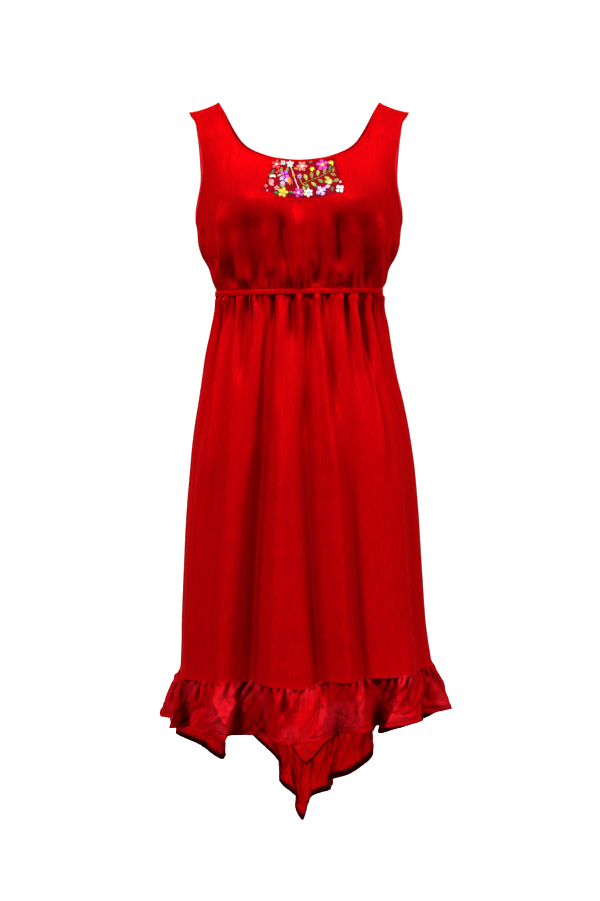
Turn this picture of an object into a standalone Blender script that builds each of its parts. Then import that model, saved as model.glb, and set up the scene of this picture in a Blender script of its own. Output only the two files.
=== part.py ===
import bpy
import numpy as np

# Sleeveless ruffled dress, filled out as worn. Front faces -Y, +Z up.
# The origin is midway between the straps at the height of the shoulder neck points.
# Tables are in millimetres and degrees; angles run from centre front towards +X.

wall = 1.4
seam_gap = 0.3
neck_edge_width = 4.0
shoulder_roll = 55.0
casing_height = 9.4
casing_middle = -293.5
side_seam = 84.0
gathers_bodice = 18
gathers_skirt = 26
bust_height = 20.0
bust_side = 72.0
bust_level = -155.0
bust_width = 42.0
bust_drop = 40.0
cloth_red = (0.56, 0.004, 0.008)
yoke_red = (0.34, 0.004, 0.02)

# Body sections of the bodice: height, half width, front depth, back depth.
bodice_sections = np.array([
    (-300, 128.0, 94, 90),
    (-293, 128.0, 94, 90),
    (-274, 134.5, 100, 93),
    (-256, 140.0, 105, 95),
    (-237, 150.5, 108, 98),
    (-218, 156.0, 111, 101),
    (-200, 157.5, 112, 103),
    (-181, 160.0, 113, 105),
    (-144, 163.0, 111, 105),
    (-115, 167.0, 105, 102),
    (-88, 173.0, 96, 96),
    (-65, 179.0, 86, 88),
    (-48, 184.0, 80, 82),
    (-29, 190.0, 74, 74),
    (-15, 200.5, 70, 68),
    (5, 200.5, 66, 62),
])

# Armhole and side edge: height, edge angle from centre front, from centre back.
edge_rows = np.array([
    (-300, side_seam, 180 - side_seam),
    (-190, side_seam, 180 - side_seam),
    (-172, 77, 87),
    (-150, 69, 77),
    (-120, 62, 68),
    (-90, 58, 64),
    (-50, 57, 60),
    (-15, 58, 58),
    (5, 58, 58),
])

# Shoulder line: distance from the middle, height.
shoulder_line = np.array([(124, 1.0), (136, -4.7), (153, -10.9), (170, -14.9)])

# Neckline: distance from the middle, height.
front_neck = np.array([
    (124, 1), (116, -13), (110, -29.5), (103.8, -44), (95.8, -60),
    (86.5, -72), (74, -79), (60.5, -84.5), (38, -90), (0, -94.5),
])
back_neck = np.array([
    (124, 1), (117, -9), (108, -26), (100, -40), (90, -54),
    (80, -62.5), (63, -70.5), (35, -78), (0, -81),
])

# Yoke inset: the sides as (x at top, height, x at bottom, height) and the lower edge.
yoke_left = (-37.6, -95, -53, -142)
yoke_right = (52.6, -92, 68.7, -144)
yoke_bottom = np.array([
    (-53, -142), (-18, -151), (5, -153), (24, -152), (52, -147.5), (68.7, -144),
])

# Soft folds of the bodice above the casing: angle, width, depth, lower and upper height.
bodice_folds = np.array([
    (-52, 7, -5, -292, -205),
    (-37, 6, 5, -292, -200),
    (-21, 6, -6, -292, -195),
    (-4, 7, 3, -292, -200),
    (13, 6, -5, -292, -190),
    (30, 7, 4, -292, -200),
    (48, 7, -6, -292, -200),
    (140, 8, -5, -292, -190),
    (165, 8, 4, -292, -185),
    (192, 8, -5, -292, -190),
    (220, 8, 4, -292, -195),
])

# Skirt sections: height, centre, half width, front depth, back depth.
skirt_sections = np.array([
    (-1080, 11, 199, 150, 166),
    (-960, 11, 197, 149, 161),
    (-870, 11, 194.5, 147, 156),
    (-832, 9, 191, 144, 153),
    (-795, 7, 188.5, 142, 150),
    (-721, 6, 184.5, 137, 145),
    (-646, 5.4, 180.5, 132, 141),
    (-572, 5.3, 174.5, 127, 137),
    (-535, 4.5, 170.5, 124, 135),
    (-498, 3.8, 165.2, 120, 132),
    (-460, 3, 158.2, 116, 127),
    (-423, 1.5, 150.4, 111, 120),
    (-386, 0.7, 143, 106, 110),
    (-349, 0.5, 134.5, 100, 99),
    (-310, 0, 127.5, 95, 91),
    (-293, 0, 128.0, 94, 90),
])

# Large skirt folds: angle at top, at hem, width, depth, upper and lower height.
skirt_folds = np.array([
    (-60, -64, 9, 5, -420, -900),
    (-38, -44, 9, 6, -380, -900),
    (-19, -29, 7, -11, -400, -900),
    (-8, -12, 8, 6, -400, -900),
    (1, 8, 6, -9, -360, -900),
    (15, 18, 7, 5, -420, -900),
    (25, 29, 6, -6, -450, -900),
    (45, 47, 10, 6, -430, -900),
    (66, 66, 8, -4, -430, -900),
    (112, 116, 9, -7, -400, -980),
    (132, 134, 9, 6, -400, -980),
    (150, 151, 8, -9, -380, -1000),
    (172, 169, 9, 6, -400, -1060),
    (188, 184, 8, -8, -400, -1060),
    (208, 208, 9, 6, -400, -1000),
    (228, 230, 9, -9, -380, -980),
    (250, 248, 9, 5, -400, -980),
])

# Ruffle seam line: angle, height.
ruffle_seam = np.array([
    (-180, -1058), (-172, -1024), (-160, -968), (-148, -950), (-134, -952), (-120, -925),
    (-105, -900), (-90, -878), (-50, -879.5), (-17, -877), (0, -883), (12, -873),
    (40, -870.5), (90, -867), (105, -892), (120, -916), (140, -946), (150, -968),
    (160, -996), (170, -1026), (180, -1058), (188, -1024), (200, -968), (212, -950),
    (226, -952), (240, -925), (255, -900), (270, -878),
])

# Hem ruffle, one row per fold edge: seam angle, hem x, hem y, hem height.
ruffle_front_edges = np.array([
    (-84, -214, -14, -948),
    (-76, -192, -27, -951),
    (-68, -197, -66, -956),
    (-61, -166, -46, -956),
    (-54, -163, -104, -953),
    (-45, -137, -122, -955),
    (-35, -110, -147, -957),
    (-28, -103, -112, -958),
    (-20, -52, -112, -958),
    (-13, -42, -163, -956),
    (-4, -12, -176, -959),
    (6, 30, -170, -954),
    (14, 58, -130, -950),
    (22, 92, -158, -946),
    (28, 107, -142, -944),
    (34, 112, -94, -947),
    (40, 129, -98, -946),
    (46, 130, -138, -941),
    (57, 166, -126, -938),
    (64, 184, -102, -936),
    (70, 182, -60, -934),
    (77, 208, -45, -936),
    (84, 236, -16, -936),
])
ruffle_back_edges = np.array([
    (84, 236, -16, -936),
    (92, 230, 24, -942),
    (102, 192, 42, -964),
    (112, 196, 84, -974),
    (122, 150, 84, -988),
    (132, 127, 104, -997),
    (138, 130, 152, -990),
    (144, 113, 150, -1012),
    (149, 118, 116, -1036),
    (156, 84, 134, -1068),
    (163, 46, 136, -1081),
    (168, 51, 170, -1102),
    (174, 20, 165, -1113),
    (180, 7, 160, -1149),
    (184, -6, 174, -1133),
    (188, -3, 153, -1111),
    (193, -31, 167, -1089),
    (198, -30, 134, -1052),
    (205, -66, 168, -1022),
    (212, -98, 200, -1006),
    (220, -118, 178, -1008),
    (226, -122, 112, -1040),
    (238, -160, 104, -1015),
    (250, -195, 80, -993),
    (258, -178, 40, -972),
    (266, -214, 22, -950),
    (276, -214, -14, -948),
])


def smooth(x, xs, ys):
    # Cubic curve through the rows, with no overshoot between them.
    x = np.asarray(x, float)
    step = np.diff(xs)
    slope = np.diff(ys) / step
    inner = slope[1:] * slope[:-1]
    total = slope[1:] + slope[:-1]
    total = np.where(np.abs(total) < 1e-9, 1e-9, total)
    tangent = np.zeros(len(xs))
    tangent[1:-1] = np.where(inner > 0, 2 * inner / total, 0)
    tangent[0] = slope[0]
    tangent[-1] = slope[-1]
    i = np.clip(np.searchsorted(xs, x) - 1, 0, len(xs) - 2)
    t = np.clip((x - xs[i]) / step[i], 0, 1)
    start = ys[i] * (1 + 2 * t) * (1 - t) ** 2
    start = start + step[i] * tangent[i] * t * (1 - t) ** 2
    end = ys[i + 1] * t * t * (3 - 2 * t)
    return start + end + step[i] * tangent[i + 1] * t * t * (t - 1)


def step_up(x):
    t = np.clip(x, 0, 1)
    return t * t * (3 - 2 * t)


def fold_lift(table, angle, z):
    # Bodice folds: fade in above the lower height and out towards the upper one.
    lift = np.zeros(np.broadcast(angle, z).shape)
    for middle, width, depth, low, high in table:
        turn = (angle - middle + 180) % 360 - 180
        fade = 1 - step_up((z - low) / (high - low))
        lift = lift + depth * fade * np.exp(-((turn / width) ** 2))
    return lift


def body_point(angle, z, back=False):
    # Point of the bodice surface at an angle from the centre of its own side.
    rows = bodice_sections
    half = smooth(z, rows[:, 0], rows[:, 1])
    deep = smooth(z, rows[:, 0], rows[:, 3 if back else 2])
    turn = np.radians(angle)
    x = half * np.sin(turn)
    top = smooth(np.abs(x), shoulder_line[:, 0], shoulder_line[:, 1])
    drop = np.clip((top - z) / shoulder_roll, 0, 1)
    roll = np.sqrt(1 - (1 - drop) ** 2)
    out = deep * np.cos(turn) * roll
    if not back:
        for side in (-1, 1):
            across = (x - side * bust_side) / bust_width
            along = (z - bust_level) / bust_drop
            along = along * np.where(along < 0, 0.8, 1.15)
            out = out + bust_height * np.exp(-across ** 2 - along ** 2) * roll
    around = 180 - angle if back else angle
    lift = fold_lift(bodice_folds, around, z)
    x = x + lift * np.sin(turn) * 0.9
    out = out + lift * np.cos(turn)
    y = out if back else -out
    return np.stack(np.broadcast_arrays(x, y, z), -1)


def body_out(angle, z, back=False):
    # Outward direction of the bodice surface.
    around = body_point(angle + 0.5, z, back) - body_point(angle - 0.5, z, back)
    down = body_point(angle, z - 1, back) - body_point(angle, z + 1, back)
    out = np.cross(down, around) * (-1 if back else 1)
    return out / np.maximum(np.linalg.norm(out, axis=-1, keepdims=True), 1e-9)


def levelled(out, row):
    # At a cross seam the wall edge is level, so that the pieces meet edge to edge.
    out[row, :, 2] = 0
    out[row] /= np.linalg.norm(out[row], axis=-1, keepdims=True)
    return out


def matched(out, parting):
    # The two panels of a side seam share one direction there.
    for a, b in ((parting - 1, parting), (-1, 0)):
        both = out[:, a] + out[:, b]
        both = both / np.linalg.norm(both, axis=-1, keepdims=True)
        out[:, a] = both
        out[:, b] = both
    return out


def body_angle(x, z):
    half = smooth(z, bodice_sections[:, 0], bodice_sections[:, 1])
    return np.degrees(np.arcsin(np.clip(x / half, -1, 1)))


def edge_angle(z, back=False):
    return smooth(z, edge_rows[:, 0], edge_rows[:, 2 if back else 1])


def neck_curve(table, t, away):
    # Neckline from the +X neck point round to the -X one, moved away from the opening.
    half = np.array(table, float)
    both = np.concatenate([half, half[-2::-1] * (-1, 1)])
    run = np.append(0, np.cumsum(np.hypot(*np.diff(both, axis=0).T)))
    run = run / run[-1]
    x = smooth(t, run, both[:, 0])
    z = smooth(t, run, both[:, 1])
    ahead = smooth(t + 1e-3, run, both[:, 0]) - smooth(t - 1e-3, run, both[:, 0])
    down = smooth(t + 1e-3, run, both[:, 1]) - smooth(t - 1e-3, run, both[:, 1])
    long = np.hypot(ahead, down)
    return x - away * down / long, z + away * ahead / long


def casing_line(angle):
    turn = np.radians(angle)
    return casing_middle + 2.5 * np.sin(turn) + 2.0 * np.cos(turn)


def skirt_point(angle, z):
    rows = skirt_sections
    middle, half, front, back = (smooth(z, rows[:, 0], rows[:, i]) for i in range(1, 5))
    turn = np.radians(angle)
    across = np.sin(turn)
    along = np.cos(turn)
    deep = np.where(along > 0, front, back)
    lift = np.zeros(np.broadcast(angle, z).shape)
    for at_top, at_hem, width, depth, high, low in skirt_folds:
        share = np.clip((z - high) / (low - high), 0, 1)
        place = at_top + (at_hem - at_top) * share
        away = (angle - place + 180) % 360 - 180
        grow = step_up((high + 90 - z) / 260) * (0.45 + 0.55 * share)
        lift = lift + depth * grow * np.exp(-((away / width) ** 2))
    x = middle + (half + lift) * across
    y = -(deep + lift) * along
    return np.stack(np.broadcast_arrays(x, y, z), -1)


def normals_of(points, closed):
    # Outward direction at each grid point: columns run round, rows run downwards.
    if closed:
        around = np.roll(points, -1, 1) - np.roll(points, 1, 1)
    else:
        around = np.gradient(points, axis=1)
    down = np.gradient(points, axis=0)
    out = np.cross(down, around)
    return out / np.maximum(np.linalg.norm(out, axis=-1, keepdims=True), 1e-9)


def sheet_faces(rows, columns, fine_rows, closed=False, skip=None):
    # Quads over the grid. Below the fine rows only every second column is used.
    faces = []
    for r in range(rows - 1):
        step = 1 if r + 1 < fine_rows else 2
        for c in range(0, columns - (0 if closed else 1), step):
            if skip and skip(r, c):
                continue
            d = (c + step) % columns
            a = r * columns + c
            b = r * columns + d
            e = a + columns
            f = b + columns
            if step == 2 and r + 1 == fine_rows:
                m = a + 1
                faces += [(a, e, m), (m, e, f), (m, f, b)]
            else:
                faces.append((a, e, f, b))
    return faces


def add_solid(name, points, normals, faces, colour):
    # The cloth wall: both sides of the sheet and the rim that joins them.
    points = points.reshape(-1, 3)
    normals = normals.reshape(-1, 3)
    used = sorted({i for face in faces for i in face})
    place = {old: new for new, old in enumerate(used)}
    faces = [tuple(place[i] for i in face) for face in faces]
    middle = points[used]
    away = normals[used] * wall / 2
    count = len(used)
    corners = np.concatenate([middle + away, middle - away]) / 1000
    sides = faces + [tuple(i + count for i in reversed(face)) for face in faces]
    ends = {pair for face in faces for pair in zip(face, face[1:] + face[:1])}
    for a, b in sorted(ends):
        if (b, a) not in ends:
            sides.append((b, a, a + count, b + count))
    mesh = bpy.data.meshes.new(name)
    mesh.from_pydata([tuple(p) for p in corners], [], sides)
    mesh.update()
    cloth = bpy.data.materials.new(name + "_cloth")
    cloth.use_nodes = True
    shader = cloth.node_tree.nodes["Principled BSDF"]
    shader.inputs["Base Color"].default_value = (*colour, 1)
    shader.inputs["Roughness"].default_value = 0.55
    mesh.materials.append(cloth)
    for polygon in mesh.polygons:
        polygon.use_smooth = True
    bpy.context.collection.objects.link(bpy.data.objects.new(name, mesh))


for old in list(bpy.data.objects):
    bpy.data.objects.remove(old, do_unlink=True)

# Bodice columns, as shares of the edge angle, in blocks that end at the neck points
# and at the sides of the inset.
neck_share = body_angle(124.0, 1.0) / edge_angle(1.0)


def yoke_share(side, z):
    high_x, high_z, low_x, low_z = side
    level = np.clip(z, low_z, high_z)
    x = low_x + (high_x - low_x) * (level - low_z) / (high_z - low_z)
    return body_angle(x, level) / edge_angle(level)


left_share = float(yoke_share(yoke_left, -142.0))
right_share = float(yoke_share(yoke_right, -144.0))
flat_knots = np.array([-1, -neck_share, left_share, right_share, neck_share, 1], float)


def knots_at(z):
    ends = np.ones(np.shape(z))
    left = yoke_share(yoke_left, z)
    right = yoke_share(yoke_right, z)
    return np.stack([-ends, -neck_share * ends, left, right, neck_share * ends, ends], -1)


def warped(share, z):
    # Moves the columns sideways so that two of them follow the sides of the inset.
    knots = knots_at(z)
    out = np.zeros(np.shape(z))
    for i in range(5):
        low = flat_knots[i]
        high = flat_knots[i + 1]
        inside = (share >= low) & (share <= high)
        t = (share - low) / (high - low)
        out = np.where(inside, knots[..., i] + (knots[..., i + 1] - knots[..., i]) * t, out)
    return out


def flattened(share, z):
    knots = knots_at(z)
    out = np.zeros(np.shape(z))
    for i in range(5):
        low = knots[..., i]
        high = knots[..., i + 1]
        inside = (share >= low) & (share <= high)
        t = (share - low) / (high - low)
        out = np.where(inside, flat_knots[i] + (flat_knots[i + 1] - flat_knots[i]) * t, out)
    return out


block_columns = (12, 14, 20, 14, 12)
front_columns = np.concatenate(
    [np.linspace(flat_knots[i], flat_knots[i + 1], block_columns[i] + 1)[:-1] for i in range(5)]
    + [[1.0]]
)
back_columns = np.concatenate([
    np.linspace(-1, -neck_share, 13)[:-1],
    np.linspace(-neck_share, neck_share, 49)[:-1],
    np.linspace(neck_share, 1, 13),
])
upper_rows = np.array([1, 0.985, 0.94, 0.86, 0.735, 0.55, 0.3])
lower_rows = np.array([0, 0.06, 0.15, 0.3, 0.48, 0.677, 0.83, 1])


def neck_places(columns, table, away, back):
    # For each column the place along the neckline, counted from the +X neck point.
    t = np.linspace(0, 1, 800)
    x, z = neck_curve(table, t, away)
    share = body_angle(x, z) / edge_angle(z, back)
    if not back:
        share = flattened(share, z)
    return np.interp(columns, share[::-1], t[::-1])


def bodice_grid(columns, table, back):
    away = neck_edge_width + seam_gap
    reach = 124.0 + away * 0.9
    inner = body_angle(reach, 0.0) / edge_angle(0.0, back)
    columns = np.where(np.isclose(np.abs(columns), neck_share), np.sign(columns) * inner, columns)
    strap = np.abs(columns) >= inner - 1e-9
    t = neck_places(columns, table, away, back)
    top = neck_curve(table, t, away)[1]
    x = body_point(columns * edge_angle(-8.0, back), -8.0, back)[..., 0]
    shoulder = smooth(np.abs(x), shoulder_line[:, 0], shoulder_line[:, 1])
    top = np.where(strap, shoulder, top)
    at = warped(columns, np.full(len(columns), -146.0)) if not back else columns
    x_knot = body_point(at * edge_angle(-146.0, back), -146.0, back)[..., 0]
    knot = smooth(np.clip(x_knot, -53, 68.7), yoke_bottom[:, 0], yoke_bottom[:, 1])
    if back:
        knot = np.full(len(columns), -146.0)
    around = 180 - columns * edge_angle(-290.0, True) if back else columns * side_seam
    bottom = casing_line(around) + casing_height / 2 + seam_gap
    z = [knot + (top - knot) * g for g in upper_rows]
    z += [bottom + (knot - bottom) * g for g in lower_rows[::-1]]
    z = np.array(z)
    share = np.broadcast_to(columns, z.shape)
    if not back:
        share = warped(share, z)
    angle = share * edge_angle(z, back)
    gap = np.degrees(seam_gap / 2 / 150)
    angle = np.where(np.abs(share) > 0.999, angle - np.sign(share) * gap * (z < -188), angle)
    points = body_point(angle, z, back)
    points[0, strap, 1] = (1 if back else -1) * seam_gap / 2
    out = body_out(angle, z, back)
    out[0, strap, 1] = 0
    out = levelled(out / np.linalg.norm(out, axis=-1, keepdims=True), -1)
    wave = np.sin(np.pi / 2 * np.arange(len(columns)))
    swell = 1 + 0.35 * np.sin(np.arange(len(columns)) * 0.7)
    height = z - bottom
    rise = np.interp(height, [0, 9, 22, 45], [1.0, 2.6, 2.2, 0])
    return points + out * (rise * wave * swell)[..., None], out


# The rows run from the neck down, so the fine rows are the last ones.
def panel_faces(rows, columns, coarse_rows, skip=None):
    faces = []
    for r in range(rows - 1):
        step = 2 if r < coarse_rows else 1
        for c in range(0, columns - 1, step):
            if skip and skip(r, c):
                continue
            a = r * columns + c
            b = a + step
            e = a + columns
            f = b + columns
            if step == 2 and r + 1 == coarse_rows:
                faces += [(a, e, e + 1), (a, e + 1, b), (b, e + 1, f)]
            else:
                faces.append((a, e, f, b))
    return faces


front_points, front_out = bodice_grid(front_columns, front_neck, False)
rows = len(front_points)
columns = len(front_columns)
yoke_from = 26
yoke_to = 46


def in_yoke(r, c):
    return r < len(upper_rows) and yoke_from <= c < yoke_to


add_solid(
    "bodice_front", front_points, front_out,
    panel_faces(rows, columns, 12, in_yoke), cloth_red,
)

# The inset fills the cut-out and lies a seam gap inside its edges.
inset = front_points[: len(upper_rows) + 1, yoke_from : yoke_to + 1 : 2].copy()
inset_out = front_out[: len(upper_rows) + 1, yoke_from : yoke_to + 1 : 2]
for end, near in ((0, 1), (-1, -2)):
    inward = inset[:, near] - inset[:, end]
    inset[:, end] += inward / np.linalg.norm(inward, axis=-1, keepdims=True) * seam_gap
inward = inset[-2] - inset[-1]
inset[-1] += inward / np.linalg.norm(inward, axis=-1, keepdims=True) * seam_gap
add_solid(
    "yoke_inset", inset, inset_out,
    panel_faces(inset.shape[0], inset.shape[1], 0), yoke_red,
)

back_points, back_out = bodice_grid(back_columns, back_neck, True)
back_faces = panel_faces(len(back_points), len(back_columns), 12)
add_solid(
    "bodice_back", back_points, back_out,
    [tuple(reversed(face)) for face in back_faces], cloth_red,
)


def neck_rows(columns, table, back):
    inside = np.abs(columns) < neck_share - 1e-6
    t = neck_places(columns[inside], table, neck_edge_width + seam_gap, back)
    t = np.concatenate([[1.0], t, [0.0]])
    rings = []
    for away in (0.0, neck_edge_width):
        x, z = neck_curve(table, t, away)
        x[0] = -124.0 - away * 0.9
        x[-1] = 124.0 + away * 0.9
        z[[0, -1]] = smooth(np.abs(x[[0, -1]]), shoulder_line[:, 0], shoulder_line[:, 1])
        angle = body_angle(x, z)
        ring = body_point(angle, z, back)
        out = body_out(angle, z, back)
        ring[[0, -1], 1] = 0
        out[[0, -1], 1] = 0
        rings.append(np.stack([ring, out / np.linalg.norm(out, axis=-1, keepdims=True)]))
    return np.stack(rings, 1)


front_ring = neck_rows(front_columns[::2], front_neck, False)
back_ring = neck_rows(back_columns[::2], back_neck, True)[:, :, ::-1]
ring, ring_out = np.concatenate([front_ring[:, :, :-1], back_ring[:, :, :-1]], 2)
add_solid(
    "neck_edge", ring, ring_out,
    sheet_faces(2, ring.shape[1], 9, True), cloth_red,
)

# Waist casing, a plain ring between bodice and skirt.
casing_angles = np.arange(0, 360, 5.0)
casing_rows = []
for level in (0.5, -0.5):
    z = casing_line(casing_angles) + level * casing_height
    casing_rows.append(skirt_point(casing_angles, z))
casing = np.array(casing_rows)
casing_out = levelled(normals_of(casing, True), slice(None))
add_solid(
    "waist_casing", casing, casing_out,
    sheet_faces(2, len(casing_angles), 9, True), cloth_red,
)

# Skirt, built once as a whole ring and parted at the side seams.
turn_gap = np.degrees(seam_gap / 2 / 150)


def spread(start, end, count):
    # Column angles with uneven spacing, so that no two gathers are alike.
    t = np.linspace(0, 1, count + 1)
    uneven = t + 0.006 * np.sin(9 * t * np.pi) * np.sin(31 * t * np.pi)
    return start + (end - start) * uneven


skirt_angles = np.concatenate([
    spread(-side_seam + turn_gap, side_seam - turn_gap, gathers_skirt * 4),
    spread(side_seam + turn_gap, 360 - side_seam - turn_gap, gathers_skirt * 4),
])
front_count = gathers_skirt * 4 + 1
seam_height = smooth(skirt_angles, ruffle_seam[:, 0], ruffle_seam[:, 1])
skirt_shares = np.array([0, 0.018, 0.045, 0.1, 0.18, 0.3, 0.43, 0.57, 0.71, 0.86, 1])
waist_height = casing_line(skirt_angles) - casing_height / 2 - seam_gap
heights = waist_height + (seam_height - waist_height) * skirt_shares[:, None]
skirt = skirt_point(skirt_angles, heights)
skirt_out = matched(normals_of(skirt, True), front_count)
skirt_out = levelled(levelled(skirt_out, 0), -1)
local = np.concatenate([np.arange(front_count), np.arange(front_count)])
wave = np.sin(np.pi / 2 * local) * (1 + 0.35 * np.sin(local * 0.9))
fade = np.interp(waist_height - heights, [0, 10, 26, 58], [1.1, 3.0, 2.6, 0])
skirt = skirt + skirt_out * (fade * wave)[..., None]
skirt_faces = sheet_faces(len(skirt_shares), front_count, 4)
add_solid("skirt_front", skirt[:, :front_count], skirt_out[:, :front_count], skirt_faces, cloth_red)
add_solid("skirt_back", skirt[:, front_count:], skirt_out[:, front_count:], skirt_faces, cloth_red)

# Hem ruffle. Its upper edge follows the lower edge of the skirt, a seam gap below it.
seam_angles = np.concatenate([skirt_angles[0:front_count:2], skirt_angles[front_count::2]])
seam_points = np.concatenate([skirt[-1, 0:front_count:2], skirt[-1, front_count::2]])


def ruffle_grid(edges, pieces):
    # Columns between one fold edge and the next, and rows from the seam to the hem.
    count = len(edges) - 1
    t = np.linspace(0, count, count * pieces * 2 + 1)
    before = np.clip(np.floor(t).astype(int), 0, count - 1)
    part = (t - before)[:, None]
    padded = np.concatenate([edges[:1] * 2 - edges[1:2], edges, edges[-1:] * 2 - edges[-2:-1]])
    p0, p1, p2, p3 = (padded[before + i] for i in range(4))
    lead = (p2 - p0) * 0.42
    trail = (p3 - p1) * 0.42
    hem = p1 * (1 + 2 * part) * (1 - part) ** 2 + lead * part * (1 - part) ** 2
    hem = hem + p2 * part * part * (3 - 2 * part) + trail * part * part * (part - 1)
    angle = np.interp(t, np.arange(count + 1), edges[:, 0])
    low = edges[0, 0] + turn_gap
    high = edges[-1, 0] - turn_gap
    angle = low + (angle - angle[0]) / (angle[-1] - angle[0]) * (high - low)
    for corner in seam_angles[(seam_angles > low + 0.5) & (seam_angles < high - 0.5)]:
        angle[np.argmin(np.abs(angle - corner))] = corner
    seam = np.stack([np.interp(angle, seam_angles, seam_points[:, i]) for i in range(3)], -1)
    seam[:, 2] -= seam_gap
    shares = np.array([0, 0.12, 0.3, 0.52, 0.76, 1])[:, None, None]
    hem = hem[:, 1:]
    for end, near in ((0, 1), (-1, -2)):
        inward = hem[near] - hem[end]
        hem[end] += inward / np.linalg.norm(inward) * seam_gap / 2
    return seam + (hem - seam) * shares, angle


front_ruffle, front_turns = ruffle_grid(ruffle_front_edges, 3)
back_ruffle, back_turns = ruffle_grid(ruffle_back_edges, 3)
parting = len(front_turns)
ruffle = np.concatenate([front_ruffle, back_ruffle], 1)
ruffle_turns = np.concatenate([front_turns, back_turns])
ruffle_out = matched(normals_of(ruffle, True), parting)
seam_out = np.concatenate([skirt_out[-1, 0:front_count:2], skirt_out[-1, front_count::2]])
for i in range(3):
    ruffle_out[0, :, i] = np.interp(ruffle_turns, seam_angles, seam_out[:, i])
local = np.arange(ruffle.shape[1])
wave = np.sin(np.pi / 2 * local) * (1 + 0.4 * np.sin(local * 1.1))
wave[[0, parting - 1, parting, -1]] = 0
fade = np.array([0.8, 3.0, 1.8, 0, 0, 0])[:, None]
ruffle = ruffle + ruffle_out * (fade * wave)[..., None]
for name, part in (("ruffle_front", slice(0, parting)), ("ruffle_back", slice(parting, None))):
    points = ruffle[:, part]
    faces = sheet_faces(points.shape[0], points.shape[1], 3)
    add_solid(name, points, ruffle_out[:, part], faces, cloth_red)
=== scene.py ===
import bpy
import math
import numpy as np
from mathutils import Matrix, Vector


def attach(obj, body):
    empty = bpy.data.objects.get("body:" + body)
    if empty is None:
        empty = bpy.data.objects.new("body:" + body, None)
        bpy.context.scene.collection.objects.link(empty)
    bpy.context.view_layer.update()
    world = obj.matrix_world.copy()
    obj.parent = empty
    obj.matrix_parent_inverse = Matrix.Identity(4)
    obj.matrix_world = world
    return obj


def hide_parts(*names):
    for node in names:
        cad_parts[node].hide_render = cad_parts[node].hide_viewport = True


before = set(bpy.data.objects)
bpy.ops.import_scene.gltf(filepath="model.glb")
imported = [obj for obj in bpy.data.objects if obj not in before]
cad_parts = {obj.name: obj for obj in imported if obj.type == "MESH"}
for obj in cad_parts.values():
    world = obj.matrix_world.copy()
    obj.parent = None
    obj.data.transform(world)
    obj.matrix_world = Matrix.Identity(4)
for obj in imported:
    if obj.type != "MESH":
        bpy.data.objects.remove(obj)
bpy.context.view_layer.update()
scene = bpy.context.scene
print("frame loaded")

# Lengths in the tables are millimetres, angles are degrees from centre front towards +X.

view = {
    "away": 3400.0,
    "height": -305.0,
    "lens": 87.64,
    "shiftX": 0.0011,
    "shiftY": -0.167,  # the camera looks level, the frame hangs below it
}
cameraData = bpy.data.cameras.new("camera")
cameraData.lens = view["lens"]
cameraData.shift_x = view["shiftX"]
cameraData.shift_y = view["shiftY"]
camera = bpy.data.objects.new("camera", cameraData)
camera.location = (0, -view["away"] / 1000, view["height"] / 1000)
camera.rotation_euler = (math.radians(90), 0, 0)
scene.collection.objects.link(camera)
scene.camera = camera


# curves and small helpers

def smooth(x, xs, ys):  # cubic through the rows, no overshoot
    x = np.asarray(x, float)
    step = np.diff(xs)
    slope = np.diff(ys) / step
    total = slope[1:] + slope[:-1]
    total = np.where(np.abs(total) < 1e-9, 1e-9, total)
    inner = slope[1:] * slope[:-1]
    tangent = np.zeros(len(xs))
    tangent[1:-1] = np.where(inner > 0, 2 * inner / total, 0)
    tangent[0] = slope[0]
    tangent[-1] = slope[-1]
    i = np.clip(np.searchsorted(xs, x) - 1, 0, len(xs) - 2)
    t = np.clip((x - xs[i]) / step[i], 0, 1)
    start = ys[i] * (1 + 2 * t) * (1 - t) ** 2 + step[i] * tangent[i] * t * (1 - t) ** 2
    return start + ys[i + 1] * t * t * (3 - 2 * t) + step[i] * tangent[i + 1] * t * t * (t - 1)


def stepUp(x):
    t = np.clip(x, 0, 1)
    return t * t * (3 - 2 * t)


def unit(v):
    return v / np.maximum(np.linalg.norm(v, axis=-1, keepdims=True), 1e-9)


def turnGap(a, b):  # signed angle between two directions
    return (a - b + 180) % 360 - 180


def gridNormals(points, closed=False):
    if closed:
        around = np.roll(points, -1, 1) - np.roll(points, 1, 1)
    else:
        around = np.gradient(points, axis=1)
    return unit(np.cross(np.gradient(points, axis=0), around))


def runLength(points, axis):  # length along the grid, in metres
    step = np.linalg.norm(np.diff(points, axis=axis), axis=-1)
    pad = np.zeros_like(np.take(step, [0], axis=axis))
    return np.cumsum(np.concatenate([pad, step], axis=axis), axis=axis) / 1000


def creaseLift(creases, x, z):  # listed creases: three points, width, depth
    lift = np.zeros(np.broadcast(x, z).shape)
    for x0, z0, x1, z1, x2, z2, width, depth in creases:
        rows = np.array([(z2, x2), (z1, x1), (z0, x0)], float)
        path = smooth(z, rows[:, 0], rows[:, 1])
        share = (z0 - z) / (z0 - z2)
        fade = stepUp(share / 0.3) * stepUp((1 - share) / 0.3)
        lift = lift + depth * fade * np.exp(-np.abs((x - path) / width) ** 1.8)
    return lift


def gatherRows(seed, start, end, pitch, depth, reach, widths):
    # Uneven small gathers along a seam: angle, width, depth, reach, lean.
    rng = np.random.default_rng(seed)
    rows = []
    at = start + pitch * rng.uniform(0.3, 0.8)
    while at < end - pitch * 0.3:
        size = rng.uniform(0.45, 1.25)
        far = reach[0] + (reach[1] - reach[0]) * rng.uniform(0, 1) ** 1.5
        rows.append((at, rng.uniform(*widths), depth * size, far, rng.uniform(-1, 1)))
        at += pitch * rng.uniform(0.55, 1.5)
    return rows


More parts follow.
